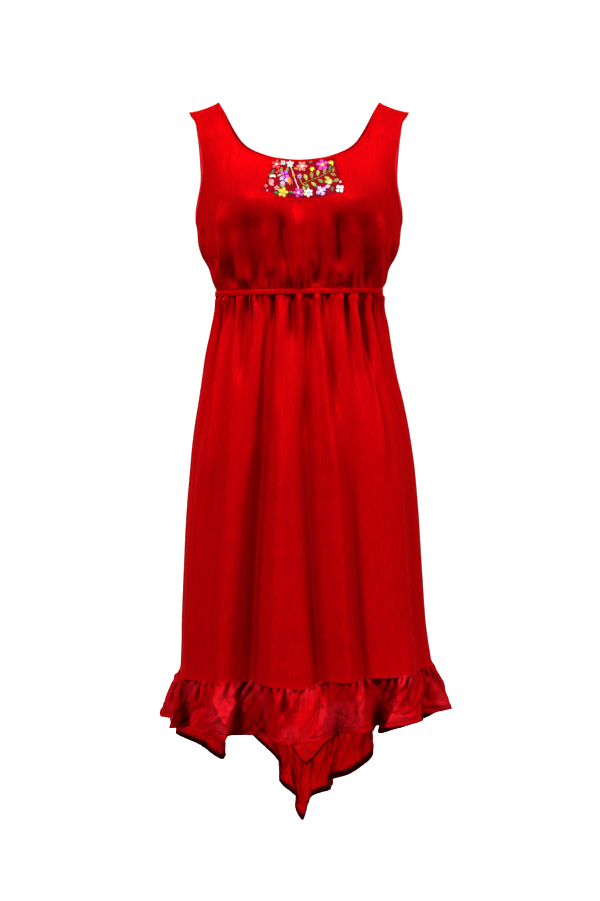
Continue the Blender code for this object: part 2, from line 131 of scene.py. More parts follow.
def gatherLift(rows, place, away, spread):  # away is the distance from the seam
    lift = np.zeros(np.broadcast(place, away).shape)
    away = np.maximum(away, 0)
    for at, width, depth, reach, lean in rows:
        wide = width * (1 + away / spread)
        off = turnGap(place, at + lean * away * 0.02)
        fade = stepUp(1 - away / reach) * (0.5 + 0.5 * stepUp(away / 6))
        near = np.abs(off / wide)
        lift = lift - depth * fade * np.exp(-near ** 1.5)
        lift = lift + 0.45 * depth * fade * np.exp(-((near - 1.9) / 0.9) ** 2)
    return lift


def crumpleLift(seed, count, u, v, depth, long, wide):  # short sharp creases, u and v in mm
    rng = np.random.default_rng(seed)
    lift = np.zeros(u.shape)
    for _ in range(count):
        cu = rng.uniform(u.min(), u.max())
        cv = rng.uniform(0.12, 1.0) * v.max()
        turn = rng.normal(math.pi / 2, 0.55)
        size = rng.uniform(0.4, 1.0)
        along = (u - cu) * math.cos(turn) + (v - cv) * math.sin(turn)
        across = -(u - cu) * math.sin(turn) + (v - cv) * math.cos(turn)
        body = np.clip(1 - np.abs(across) / (wide * (0.5 + size)), 0, 1) ** 1.2
        ends = np.clip(1 - (along / (long * (0.4 + size))) ** 2, 0, 1)
        lift = lift + rng.choice([-1, 1]) * depth * size * body * ends
    return lift


# materials

def newGroup(name, inputs, outputs):
    group = bpy.data.node_groups.new(name, "ShaderNodeTree")
    for label, kind, value in inputs:
        socket = group.interface.new_socket(label, in_out="INPUT", socket_type=kind)
        if value is not None:
            socket.default_value = value
    for label, kind in outputs:
        group.interface.new_socket(label, in_out="OUTPUT", socket_type=kind)
    start = group.nodes.new("NodeGroupInput")
    end = group.nodes.new("NodeGroupOutput")
    return group, start, end


def noiseNode(tree, source, scale, detail=3.0, rough=0.55, twist=0.0):
    shape = tree.nodes.new("ShaderNodeMapping")
    shape.inputs["Scale"].default_value = (*scale, 1)
    tree.links.new(source, shape.inputs["Vector"])
    noise = tree.nodes.new("ShaderNodeTexNoise")
    noise.inputs["Scale"].default_value = 1.0
    noise.inputs["Detail"].default_value = detail
    noise.inputs["Roughness"].default_value = rough
    noise.inputs["Distortion"].default_value = twist
    tree.links.new(shape.outputs[0], noise.inputs["Vector"])
    return noise.outputs["Fac"]


def mathNode(tree, kind, a, b=None, c=None):
    node = tree.nodes.new("ShaderNodeMath")
    node.operation = kind
    for i, value in enumerate((a, b, c)):
        if value is None:
            continue
        if isinstance(value, (int, float)):
            node.inputs[i].default_value = value
        else:
            tree.links.new(value, node.inputs[i])
    return node.outputs[0]


def rangeNode(tree, value, low, high, toLow=0.0, toHigh=1.0):
    node = tree.nodes.new("ShaderNodeMapRange")
    node.interpolation_type = "SMOOTHSTEP"
    node.inputs["From Min"].default_value = low
    node.inputs["From Max"].default_value = high
    node.inputs["To Min"].default_value = toLow
    node.inputs["To Max"].default_value = toHigh
    tree.links.new(value, node.inputs["Value"])
    return node.outputs[0]


def mixColour(tree, share, a, b, kind="MIX"):
    node = tree.nodes.new("ShaderNodeMix")
    node.data_type = "RGBA"
    node.blend_type = kind
    for value, socket in ((share, node.inputs[0]), (a, node.inputs[6]), (b, node.inputs[7])):
        if isinstance(value, (int, float)):
            socket.default_value = value
        elif isinstance(value, tuple):
            socket.default_value = (*value, 1)
        else:
            tree.links.new(value, socket)
    return node.outputs[2]


crepe, start, end = newGroup(
    "crepe crinkle with painted fold shade and light",
    [
        ("Place", "NodeSocketVector", None),
        ("Cloth Colour", "NodeSocketColor", (0.5, 0.004, 0.008, 1)),
        ("Painted Light-Through Colour", "NodeSocketColor", (0.7, 0.03, 0.05, 1)),
        ("Crinkle", "NodeSocketFloat", 1.0),
        ("Painted Light-Through Patches", "NodeSocketFloat", 0.0),
        ("Fold Shade", "NodeSocketFloat", 0.6),
        ("Roughness", "NodeSocketFloat", 0.48),
    ],
    [("Colour", "NodeSocketColor"), ("Height", "NodeSocketFloat"), ("Roughness", "NodeSocketFloat")],
)
fine = noiseNode(crepe, start.outputs["Place"], (1250, 48), 4.0, 0.6, 0.35)  # crinkles along the cloth
broad = noiseNode(crepe, start.outputs["Place"], (210, 9), 2.0, 0.5, 0.5)
cloudy = noiseNode(crepe, start.outputs["Place"], (16, 12), 3.0, 0.55, 0.4)
weave = noiseNode(crepe, start.outputs["Place"], (3200, 2400), 1.0, 0.5)
fineLine = rangeNode(crepe, fine, 0.36, 0.66)
broadLine = rangeNode(crepe, broad, 0.35, 0.68)
# painted light: cloudy patches are coloured lighter where light would come through the thin cloth
paintedLightThrough = rangeNode(crepe, cloudy, 0.5, 0.64)
paintedLightThrough = mathNode(crepe, "MULTIPLY", paintedLightThrough, start.outputs["Painted Light-Through Patches"])
shade = mathNode(crepe, "MULTIPLY_ADD", fineLine, 0.26, 0.76)
shade = mathNode(crepe, "MULTIPLY_ADD", broadLine, 0.04, shade)
shade = mathNode(crepe, "MULTIPLY_ADD", cloudy, 0.04, shade)
paintedFoldShade = crepe.nodes.new("ShaderNodeAmbientOcclusion")  # painted shade: ambient occlusion darkens the base colour in folds, gathers and hollows
paintedFoldShade.samples = 8
paintedFoldShade.inputs["Distance"].default_value = 0.03
deep = rangeNode(crepe, paintedFoldShade.outputs["AO"], 0.45, 0.98, 1.0, 0.0)
deep = mathNode(crepe, "MULTIPLY", deep, start.outputs["Fold Shade"])
shade = mathNode(crepe, "MULTIPLY", shade, mathNode(crepe, "SUBTRACT", 1.0, deep))
base = mixColour(crepe, paintedLightThrough, start.outputs["Cloth Colour"], start.outputs["Painted Light-Through Colour"])
tone = crepe.nodes.new("ShaderNodeCombineColor")
for i in range(3):
    crepe.links.new(shade, tone.inputs[i])
crepe.links.new(mixColour(crepe, 1.0, base, tone.outputs[0], "MULTIPLY"), end.inputs["Colour"])
height = mathNode(crepe, "MULTIPLY", fineLine, 0.5)
height = mathNode(crepe, "MULTIPLY_ADD", broadLine, 0.3, height)
height = mathNode(crepe, "MULTIPLY_ADD", weave, 0.12, height)
crepe.links.new(mathNode(crepe, "MULTIPLY", height, start.outputs["Crinkle"]), end.inputs["Height"])
crepe.links.new(
    mathNode(crepe, "MULTIPLY_ADD", fineLine, 0.1, start.outputs["Roughness"]), end.inputs["Roughness"]
)

thread, start, end = newGroup(
    "satin thread",
    [
        ("Place", "NodeSocketVector", None),
        ("Thread Colour", "NodeSocketColor", (0.8, 0.1, 0.1, 1)),
        ("Threads", "NodeSocketFloat", 1900.0),
    ],
    [("Colour", "NodeSocketColor"), ("Height", "NodeSocketFloat")],
)
apart = thread.nodes.new("ShaderNodeSeparateXYZ")
thread.links.new(start.outputs["Place"], apart.inputs[0])
run = mathNode(thread, "MULTIPLY", apart.outputs["X"], start.outputs["Threads"])
ridge = mathNode(thread, "ABSOLUTE", mathNode(thread, "SINE", mathNode(thread, "MULTIPLY", run, math.pi)))
uneven = noiseNode(thread, start.outputs["Place"], (2600, 500), 2.0)
tint = mathNode(thread, "MULTIPLY_ADD", ridge, 0.26, 0.78)
tint = mathNode(thread, "MULTIPLY_ADD", uneven, 0.2, tint)
tone = thread.nodes.new("ShaderNodeCombineColor")
for i in range(3):
    thread.links.new(tint, tone.inputs[i])
thread.links.new(
    mixColour(thread, 1.0, start.outputs["Thread Colour"], tone.outputs[0], "MULTIPLY"), end.inputs["Colour"]
)
thread.links.new(ridge, end.inputs["Height"])


def finish(name, group, settings, bump, shader):
    material = bpy.data.materials.new(name)
    material.use_nodes = True
    tree = material.node_tree
    principled = tree.nodes["Principled BSDF"]
    place = tree.nodes.new("ShaderNodeUVMap")
    place.uv_map = "clothRun"
    node = tree.nodes.new("ShaderNodeGroup")
    node.node_tree = group
    tree.links.new(place.outputs[0], node.inputs["Place"])
    for label, value in settings.items():
        node.inputs[label].default_value = (*value, 1) if isinstance(value, tuple) else value
    tree.links.new(node.outputs["Colour"], principled.inputs["Base Color"])
    if "Roughness" in node.outputs:
        tree.links.new(node.outputs["Roughness"], principled.inputs["Roughness"])
    relief = tree.nodes.new("ShaderNodeBump")
    relief.inputs["Strength"].default_value = bump[0]
    relief.inputs["Distance"].default_value = bump[1]
    tree.links.new(node.outputs["Height"], relief.inputs["Height"])
    tree.links.new(relief.outputs[0], principled.inputs["Normal"])
    for label, value in shader.items():
        principled.inputs[label].default_value = value
    return material


satinGloss = {  # part of the light comes back as a red sheen, as from satin
    "Metallic": 0.2,
    "Specular IOR Level": 0.02,
    "Specular Tint": (1.0, 0.1, 0.1, 1),
}
thinCloth = {  # one layer, so light comes through
    "Subsurface Weight": 0.5,
    "Subsurface Radius": (1.0, 0.06, 0.08),
    "Subsurface Scale": 0.0022,
}
rightSide = finish(
    "red crepe satin", crepe,
    {"Cloth Colour": (0.60, 0.0002, 0.0022), "Painted Light-Through Colour": (0.64, 0.002, 0.006), "Roughness": 0.46},
    (0.55, 0.0004), satinGloss,
)
# painted light: the single layer gets lighter patches painted where light comes through it
ruffleSide = finish(
    "red crepe satin single layer", crepe,
    {
        "Cloth Colour": (0.60, 0.0004, 0.003), "Painted Light-Through Colour": (0.80, 0.010, 0.026),
        "Crinkle": 1.4, "Painted Light-Through Patches": 0.55, "Roughness": 0.42,
    },
    (0.7, 0.0005), {**satinGloss, **thinCloth, "Subsurface Weight": 0.2},
)
# the wrong side is lighter and matte; its colour is also raised as painted light on the shaded inside of the
# back ruffle, with painted light-through patches
wrongSide = finish(
    "red crepe wrong side", crepe,
    {
        "Cloth Colour": (0.88, 0.008, 0.03), "Painted Light-Through Colour": (0.95, 0.05, 0.09), "Fold Shade": 0.35,
        "Crinkle": 1.8, "Painted Light-Through Patches": 0.5, "Roughness": 0.6,
    },
    (1.0, 0.0010),
    {"Specular IOR Level": 0.04, **thinCloth, "Subsurface Weight": 0.8, "Subsurface Scale": 0.004},
)
# painted shade: the doubled hem is coloured darker than the single layer, for the light it does not let
# through
hemSide = finish(
    "red crepe doubled hem", crepe,
    {
        "Cloth Colour": (0.52, 0.0004, 0.003), "Painted Light-Through Colour": (0.56, 0.003, 0.008),
        "Crinkle": 1.2, "Roughness": 0.46,
    },
    (0.6, 0.0004), satinGloss,
)
# painted shade: the inside of the doubled hem is coloured dark, for the light that does not pass through it
hemInside = finish(
    "red crepe hem inside", crepe,
    {
        "Cloth Colour": (0.30, 0.0005, 0.003), "Painted Light-Through Colour": (0.36, 0.001, 0.006), "Fold Shade": 0.25,
        "Crinkle": 1.2, "Roughness": 0.6,
    },
    (0.6, 0.0004), {"Specular IOR Level": 0.02, **thinCloth, "Subsurface Weight": 0.7},
)
yokeGround = finish(
    "crimson inset weave", crepe,
    {
        "Cloth Colour": (0.30, 0.0005, 0.009), "Painted Light-Through Colour": (0.36, 0.001, 0.014),
        "Crinkle": 0.9, "Roughness": 0.62,
    },
    (0.6, 0.0003), {"Specular IOR Level": 0.1, "Specular Tint": (1.0, 0.15, 0.2, 1)},
)
sewing = finish(
    "red sewing thread", thread,
    {"Thread Colour": (0.34, 0.0005, 0.003), "Threads": 2600.0},
    (0.4, 0.0002), {"Roughness": 0.5, "Specular IOR Level": 0.08},
)
print("materials made")


# cloth shells

def meshObject(name, corners, faces, materials, slots=None, uv=None, sharp=50):
    mesh = bpy.data.meshes.new(name)
    mesh.from_pydata((corners / 1000).tolist(), [], faces)
    for material in materials:
        mesh.materials.append(material)
    if slots is not None:
        mesh.polygons.foreach_set("material_index", np.asarray(slots, np.int32))
    if uv is not None:
        layer = mesh.uv_layers.new(name="clothRun")
        index = np.zeros(len(mesh.loops), np.int32)
        mesh.loops.foreach_get("vertex_index", index)
        layer.data.foreach_set("uv", uv[index].astype(np.float32).ravel())
    mesh.polygons.foreach_set("use_smooth", np.ones(len(mesh.polygons), bool))
    mesh.update()
    if sharp:
        mesh.set_sharp_from_angle(angle=math.radians(sharp))
    piece = bpy.data.objects.new(name, mesh)
    scene.collection.objects.link(piece)
    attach(piece, "root")
    return piece


def clothShell(name, points, normals, wall, materials, uv, closed=False, skip=None, hem=None, flip=False):
    # Both faces of the cloth and the rim between them.
    # Slots: right side, wrong side, hem outside, hem inside.
    rows, columns = points.shape[:2]
    r, c = np.meshgrid(np.arange(rows - 1), np.arange(columns - (0 if closed else 1)), indexing="ij")
    keep = np.ones(r.shape, bool) if skip is None else ~skip(r, c)
    a = (r * columns + c)[keep]
    b = (r * columns + (c + 1) % columns)[keep]
    quads = np.stack([a, a + columns, b + columns, b], -1)
    inHem = np.zeros(len(quads), bool) if hem is None else hem.ravel()[a]
    if flip:
        quads = quads[:, ::-1]
    used, flat = np.unique(quads, return_inverse=True)
    quads = flat.reshape(quads.shape)
    middle = points.reshape(-1, 3)[used]
    away = normals.reshape(-1, 3)[used] * np.broadcast_to(wall, (rows, columns)).reshape(-1, 1)[used] / 2
    count = len(used)
    edges = np.concatenate([quads[:, [i, (i + 1) % 4]] for i in range(4)])
    known = set(map(tuple, edges.tolist()))
    rim = [(q, p, p + count, q + count) for p, q in known if (q, p) not in known]
    rim.sort()
    faces = quads.tolist() + (quads[:, ::-1] + count).tolist() + rim
    hemSlot = 2 if len(materials) > 2 else 0
    inside = len(materials) - 1
    slots = np.concatenate([
        np.where(inHem, hemSlot, 0), np.where(inHem, inside, 1), np.full(len(rim), hemSlot),
    ])
    run = uv.reshape(-1, 2)[used]
    return meshObject(
        name, np.concatenate([middle + away, middle - away]), faces, materials,
        slots, np.concatenate([run, run]),
    )


def rollShell(name, rings, materials, uv):
    # A closed ring of closed cross sections, such as a casing or a turned edge.
    count, sides = rings.shape[:2]
    i, j = np.meshgrid(np.arange(count), np.arange(sides), indexing="ij")
    a = i * sides + j
    b = i * sides + (j + 1) % sides
    c = ((i + 1) % count) * sides + (j + 1) % sides
    d = ((i + 1) % count) * sides + j
    faces = np.stack([a, b, c, d], -1).reshape(-1, 4)
    return meshObject(name, rings.reshape(-1, 3), faces.tolist(), materials, None, uv.reshape(-1, 2), 0)


stitches = {"long": 2.0, "apart": 2.7, "thick": 0.28, "proud": 0.25}


def stitchRow(batch, path, out):  # small thread beads along a line of points
    run = np.append(0, np.cumsum(np.linalg.norm(np.diff(path, axis=0), axis=1)))
    places = np.arange(stitches["apart"], run[-1] - stitches["apart"], stitches["apart"])
    at = np.stack([np.interp(places, run, path[:, i]) for i in range(3)], -1)
    ahead = np.stack([np.interp(places + 0.5, run, path[:, i]) for i in range(3)], -1) - at
    up = unit(np.stack([np.interp(places, run, out[:, i]) for i in range(3)], -1))
    ahead = unit(ahead)
    side = unit(np.cross(ahead, up))
    half = stitches["long"] / 2
    thick = stitches["thick"]
    for p, t, s, n in zip(at, ahead, side, up):
        p = p + n * stitches["proud"]
        first = sum(len(x) for x in batch["corners"])
        ring = [s * thick, n * thick, -s * thick, -n * thick]
        corners = [p - t * half] + [p - t * half * 0.5 + v for v in ring]
        corners += [p + t * half * 0.5 + v for v in ring] + [p + t * half]
        batch["corners"].append(np.array(corners))
        for k in range(4):
            m = (k + 1) % 4
            batch["faces"].append((first, first + 1 + m, first + 1 + k))
            batch["faces"].append((first + 1 + k, first + 1 + m, first + 5 + m, first + 5 + k))
            batch["faces"].append((first + 5 + k, first + 5 + m, first + 9))


def stitchObject(name, batch):
    corners = np.concatenate(batch["corners"])
    uv = corners[:, [0, 2]] / 1000
    return meshObject(name, corners, batch["faces"], [sewing], None, uv, 0)


# bodice

sideSeam = 84.0  # degrees from centre front
bodice = {
    "wall": 0.9,
    "neckPoint": 124.0,  # inner end of the shoulder seam
    "armholeBottom": -190.0,
    "rowBreak": -146.0,  # where the upper and the lower rows meet at the back
    "shoulderRoll": 55.0,
    "bustHeight": 31.0,
    "sideLap": 1.1,  # degrees
    "bustSide": 72.0,
    "bustLevel": -155.0,
    "bustWidth": 42.0,
    "bustDrop": 40.0,
    "foldGain": 1.6,
    "gatherPitch": 4.3,  # degrees between small gathers
    "gatherDepth": 4.8,
    "sections": np.array([  # height, half width, front depth, back depth
        (-300, 128.0, 94, 90), (-293, 128.0, 94, 90), (-274, 134.5, 100, 93),
        (-256, 140.0, 105, 95), (-237, 150.5, 108, 98), (-218, 156.0, 111, 101),
        (-200, 157.5, 112, 103), (-181, 160.0, 113, 105), (-144, 163.0, 111, 105),
        (-115, 167.0, 105, 102), (-88, 173.0, 96, 96), (-65, 179.0, 86, 88),
        (-48, 184.0, 80, 82), (-29, 190.0, 74, 74), (-15, 200.5, 70, 68), (5, 200.5, 66, 62),
    ]),
    "edges": np.array([  # height, edge angle in front, at the back
        (-300, 84, 96), (-190, 84, 96), (-186, 80.5, 92), (-180, 78.6, 89), (-172, 76.2, 86),
        (-150, 69, 77), (-120, 62, 68),
        (-90, 58, 64), (-50, 57, 60), (-15, 58, 58), (5, 58, 58),
    ]),
    "shoulder": np.array([(124, 1.0), (136, -4.7), (153, -10.9), (170, -14.9)]),
    "frontNeck": np.array([
        (124, 1), (116, -13), (110, -29.5), (103.8, -44), (95.8, -60),
        (86.5, -72), (74, -79), (60.5, -84.5), (38, -90), (0, -94.5),
    ]),
    "backNeck": np.array([
        (124, 1), (117, -9), (108, -26), (100, -40), (90, -54),
        (80, -62.5), (63, -70.5), (35, -78), (0, -81),
    ]),
    "folds": np.array([  # angle, width, depth, lower and upper height
        (-52, 7, -5, -292, -205), (-37, 6, 5, -292, -200), (-21, 6, -6, -292, -195),
        (-4, 7, 3, -292, -200), (13, 6, -5, -292, -190), (30, 7, 4, -292, -200),
        (48, 7, -6, -292, -200), (140, 8, -5, -292, -190), (165, 8, 4, -292, -185),
        (192, 8, -5, -292, -190), (220, 8, 4, -292, -195),
    ]),
    "frontCreases": [  # three points as x and height, width, depth
        (-34, -166, -24, -208, -14, -270, 9, -10.0),
        (-84, -166, -74, -212, -64, -276, 11, -8.0),
        (98, -168, 98, -212, 92, -272, 11, -9.0),
        (60, -170, 60, -206, 58, -264, 7, -7.0),
        (-4, -156, 0, -230, 4, -290, 8, 13.0),
        (-116, -150, -112, -224, -120, -290, 9, 13.0),
        (38, -166, 44, -232, 46, -290, 6, 9.0),
        (-52, -180, -48, -236, -42, -290, 6, 9.0),
        (78, -174, 78, -232, 76, -290, 6, 9.0),
        (122, -166, 120, -232, 118, -290, 7, 9.0),
        (-96, -196, -92, -240, -86, -290, 4, 5.0),
        (19, -240, 22, -262, 24, -288, 3.2, -4.2),
        (60, -262, 62, -276, 64, -290, 3.2, -3.6),
        (-62, -232, -66, -262, -70, -288, 4, -3.2),
        (-96, -226, -100, -256, -104, -288, 4, -3.4),
        (104, -214, 106, -250, 108, -288, 5, -3.4),
        (-40, -256, -42, -270, -44, -289, 3.4, -3.0),
        (-88, -150, -95, -160, -110, -176, 2.0, -0.7),
        (-146, -190, -147, -226, -134, -268, 4.0, -6.0),
        (146, -214, 143, -250, 132, -284, 4.0, -6.0),
        (-78, -58, -90, -72, -97, -96, 3.0, -1.2),
        (-100, -62, -108, -84, -112, -112, 4.0, -1.0),
    ],
    "backCreases": [
        (-30, -200, -34, -240, -38, -286, 8, -4.0),
        (24, -210, 20, -246, 22, -286, 7, -4.0),
        (72, -196, 76, -236, 80, -286, 8, -3.6),
        (-84, -190, -86, -236, -90, -286, 8, -4.0),
        (0, -110, 2, -150, -2, -196, 20, -2.0),
        (48, -228, 50, -256, 52, -288, 4, 3.2),
        (-58, -222, -60, -254, -62, -288, 5, 3.2),
    ],
}
casing = {"height": 9.4, "middle": -293.5, "thick": 3.4, "columns": 760, "over": 1.6}  # over the panels
yoke = {
    "left": (-37.6, -95, -53, -142),  # x at top, height, x at bottom, height
    "right": (52.6, -92, 68.7, -144),
    "bottom": np.array([
        (-53, -142), (-18, -151), (5, -153), (24, -152), (52, -147.5), (68.7, -144),
    ]),
    "edgeWidth": 4.0,
}
bodice["frontGathers"] = gatherRows(
    11, -sideSeam, sideSeam, bodice["gatherPitch"], bodice["gatherDepth"], (40, 130), (1.1, 2.4)
)
bodice["backGathers"] = gatherRows(
    12, 180 - sideSeam, 180 + sideSeam, bodice["gatherPitch"], bodice["gatherDepth"], (30, 120), (1.1, 2.4)
)


def casingLine(angle):
    turn = np.radians(angle)
    return casing["middle"] + 2.5 * np.sin(turn) + 2.0 * np.cos(turn)


def bodyPoint(angle, z, back=False):
    rows = bodice["sections"]
    half = smooth(z, rows[:, 0], rows[:, 1])
    deep = smooth(z, rows[:, 0], rows[:, 3 if back else 2])
    turn = np.radians(angle)
    x = half * np.sin(turn)
    top = smooth(np.abs(x), bodice["shoulder"][:, 0], bodice["shoulder"][:, 1])
    drop = np.clip((top - z) / bodice["shoulderRoll"], 0, 1)
    roll = np.sqrt(1 - (1 - drop) ** 2)
    out = deep * np.cos(turn) * roll
    if not back:
        for side in (-1, 1):
            across = (x - side * bodice["bustSide"]) / bodice["bustWidth"]
            along = (z - bodice["bustLevel"]) / bodice["bustDrop"]
            along = along * np.where(along < 0, 0.8, 1.15)
            out = out + bodice["bustHeight"] * np.exp(-across ** 2 - along ** 2) * roll
    around = 180 - angle if back else angle
    lift = np.zeros(np.broadcast(angle, z).shape)
    held = 0.15 + 0.85 * stepUp((z + 288) / 18)  # flatter again where the elastic holds them
    for middle, width, depth, low, high in bodice["folds"]:
        fade = held * (1 - stepUp((z - low) / (high - low)))
        lift = lift + bodice["foldGain"] * depth * fade * np.exp(-((turnGap(around, middle) / width) ** 2))
    above = z - casingLine(around) - casing["height"] / 2
    lift = lift + creaseLift(bodice["backCreases" if back else "frontCreases"], x, z)
    lift = lift + gatherLift(bodice["backGathers" if back else "frontGathers"], around, above, 90)
    x = x + lift * np.sin(turn) * 0.9
    out = out + lift * np.cos(turn)
    y = out if back else -out
    return np.stack(np.broadcast_arrays(x, y, z), -1)


def bodyOut(angle, z, back=False):
    around = bodyPoint(angle + 0.4, z, back) - bodyPoint(angle - 0.4, z, back)
    down = bodyPoint(angle, z - 0.8, back) - bodyPoint(angle, z + 0.8, back)
    return unit(np.cross(down, around) * (-1 if back else 1))


def bodyAngle(x, z):
    half = smooth(z, bodice["sections"][:, 0], bodice["sections"][:, 1])
    return np.degrees(np.arcsin(np.clip(x / half, -1, 1)))


def edgeAngle(z, back=False):
    return smooth(z, bodice["edges"][:, 0], bodice["edges"][:, 2 if back else 1])


def neckCurve(table, t, away):  # from the +X neck point round to the -X one
    both = np.concatenate([table, table[-2::-1] * (-1, 1)]).astype(float)
    run = np.append(0, np.cumsum(np.hypot(*np.diff(both, axis=0).T)))
    run = run / run[-1]
    x = smooth(t, run, both[:, 0])
    z = smooth(t, run, both[:, 1])
    ahead = smooth(t + 1e-3, run, both[:, 0]) - smooth(t - 1e-3, run, both[:, 0])
    down = smooth(t + 1e-3, run, both[:, 1]) - smooth(t - 1e-3, run, both[:, 1])
    long = np.hypot(ahead, down)
    return x - away * down / long, z + away * ahead / long


def yokeShare(side, z):
    highX, highZ, lowX, lowZ = side
    level = np.clip(z, lowZ, highZ)
    x = lowX + (highX - lowX) * (level - lowZ) / (highZ - lowZ)
    return bodyAngle(x, level) / edgeAngle(level)


def neckEnd(away):
    return bodice["neckPoint"] + away * 0.9


neckShare = float(bodyAngle(bodice["neckPoint"], 1.0) / edgeAngle(1.0))
flatKnots = np.array([
    -1, -neckShare, float(yokeShare(yoke["left"], yoke["left"][3])),
    float(yokeShare(yoke["right"], yoke["right"][3])), neckShare, 1,
])


def knotsAt(z):
    ends = np.ones(np.shape(z))
    sides = [yokeShare(yoke["left"], z), yokeShare(yoke["right"], z)]
    return np.stack([-ends, -neckShare * ends, *sides, neckShare * ends, ends], -1)


def slide(share, z, back=False):  # moves columns so that two of them follow the inset's sides
    old = knotsAt(z) if back else np.broadcast_to(flatKnots, np.shape(z) + (6,))
    new = np.broadcast_to(flatKnots, np.shape(z) + (6,)) if back else knotsAt(z)
    out = np.zeros(np.shape(z))
    for i in range(5):
        inside = (share >= old[..., i]) & (share <= old[..., i + 1])
        t = (share - old[..., i]) / (old[..., i + 1] - old[..., i])
        out = np.where(inside, new[..., i] + (new[..., i + 1] - new[..., i]) * t, out)
    return out


panelRows = {
    "upper": 1 - (1 - np.linspace(1, 0, 46)[:-1]) ** 1.15,
    "lower": np.linspace(0, 1, 67) ** 0.85,
}


def bodiceGrid(columns, table, back):
    away = yoke["edgeWidth"] - 0.7
    inner = float(bodyAngle(neckEnd(away), 0.0) / edgeAngle(0.0, back))
    columns = np.where(np.isclose(np.abs(columns), neckShare), np.sign(columns) * inner, columns)
    strap = np.abs(columns) >= inner - 1e-9
    t = np.linspace(0, 1, 1600)
    x, z = neckCurve(table, t, away)
    share = bodyAngle(x, z) / edgeAngle(z, back)
    if not back:
        share = slide(share, z, True)
    top = neckCurve(table, np.interp(columns, share[::-1], t[::-1]), away)[1]
    x = bodyPoint(columns * edgeAngle(-8.0, back), -8.0, back)[..., 0]
    top = np.where(strap, smooth(np.abs(x), bodice["shoulder"][:, 0], bodice["shoulder"][:, 1]), top)
    level = bodice["rowBreak"]
    knot = np.full(len(columns), level)
    if not back:  # the rows follow the foot of the inset
        x = bodyPoint(slide(columns, knot) * edgeAngle(level), level)[..., 0]
        foot = yoke["bottom"]
        knot = smooth(np.clip(x, foot[0, 0], foot[-1, 0]), foot[:, 0], foot[:, 1])
    around = 180 - columns * edgeAngle(-290.0, True) if back else columns * sideSeam
    bottom = casingLine(around) + casing["height"] / 2 - casing["over"]
    z = [knot + (top - knot) * g for g in panelRows["upper"]]
    z += [knot + (bottom - knot) * g for g in panelRows["lower"]]
    z = np.array(z)
    share = np.broadcast_to(columns, z.shape)
    if not back:
        share = slide(share, z)
    angle = share * edgeAngle(z, back)
    if not back:  # side seam: the front's edge is lapped under the back's
        lap = stepUp((-185 - z) / 5) * (bodice["sideLap"] - 0.5 * stepUp((-220 - z) / 30))
        angle = angle + np.sign(share) * lap * stepUp((np.abs(share) - 0.97) / 0.03)
    points = bodyPoint(angle, z, back)
    points[0, strap, 1] = 0
    out = bodyOut(angle, z, back)
    out[0, strap, 1] = 0
    out = unit(out)
    side = (1 - np.abs(share)) * edgeAngle(z, back) * 2.75  # rough distance from the side edge, mm
    low = stepUp((-186 - z) / 20)
    points = points - out * (1.5 * np.exp(-(side / 3) ** 2) * low)[..., None]
    wall = bodice["wall"] + 0.9 * (1 - low) * stepUp((6.5 - side) / 1.5)  # turned armhole edge
    uv = np.stack([angle / 57.3 * 0.15 * (-1 if back else 1), z / 1000], -1)
    return points, out, wall, uv


def blockColumns(counts):
    parts = []
    for i, n in enumerate(counts):
        t = np.linspace(0, 1, n + 1)[:-1]
        if i == 1:  # closer together where the neckline is steep
            t = t ** 1.7
        if i == 3:
            t = 1 - (1 - t) ** 1.7
        parts.append(flatKnots[i] + (flatKnots[i + 1] - flatKnots[i]) * t)
    return np.concatenate(parts + [[1.0]])


clothSides = [rightSide, wrongSide, hemSide]
frontCounts = (34, 42, 64, 42, 34)
frontColumns = blockColumns(frontCounts)
points, out, wall, uv = bodiceGrid(frontColumns, bodice["frontNeck"], False)
yokeRow = len(panelRows["upper"])
yokeFrom = sum(frontCounts[:2])
yokeTo = sum(frontCounts[:3])


def inYoke(r, c):
    return (r < yokeRow) & (c >= yokeFrom) & (c < yokeTo)


def armholeLines(points, out):  # where both armholes are stitched
    lines = []
    for column in (2, -3):
        high = points[:, column, 2] > bodice["armholeBottom"]
        lines.append((points[high, column], out[high, column]))
    return lines


bodiceFront = clothShell("bodiceFront", points, out, wall, clothSides, uv, skip=inYoke)
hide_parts("bodice_front")
insetPoints = points[:yokeRow + 1, yokeFrom:yokeTo + 1].copy()
insetOut = out[:yokeRow + 1, yokeFrom:yokeTo + 1]
insetUv = uv[:yokeRow + 1, yokeFrom:yokeTo + 1]
insetPaths = [
    (points[:yokeRow + 2, yokeFrom - 1], out[:yokeRow + 2, yokeFrom - 1]),
    (points[:yokeRow + 2, yokeTo + 1], out[:yokeRow + 2, yokeTo + 1]),
    (points[yokeRow + 1, yokeFrom - 1:yokeTo + 2], out[yokeRow + 1, yokeFrom - 1:yokeTo + 2]),
]
for side in (-1, 1):  # bust darts
    x = np.linspace(141, 127, 12) * side
    z = np.linspace(-240, -238.5, 12)
    insetPaths.append((bodyPoint(bodyAngle(x, z), z), bodyOut(bodyAngle(x, z), z)))
armholePaths = armholeLines(points, out)

even = np.linspace(-1, 1, 151)[:-1]
backColumns = np.concatenate([
    np.linspace(-1, -neckShare, 41)[:-1], neckShare * np.sign(even) * (1 - (1 - np.abs(even)) ** 1.6),
    np.linspace(neckShare, 1, 41),
])
points, out, wall, uv = bodiceGrid(backColumns, bodice["backNeck"], True)
bodiceBack = clothShell("bodiceBack", points, out, wall, clothSides, uv, flip=True)
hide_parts("bodice_back")
armholePaths += armholeLines(points, out)
print("bodice made")

# inset, a little below the bodice, with the seam line round it
inset = insetPoints - insetOut * 0.8
yokeInset = clothShell("yokeInset", inset, insetOut, 0.9, [yokeGround, wrongSide], insetUv)
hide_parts("yoke_inset")

# neckline edge, turned and rolled
neck = {"columns": 260, "thick": 0.95, "sides": 12}


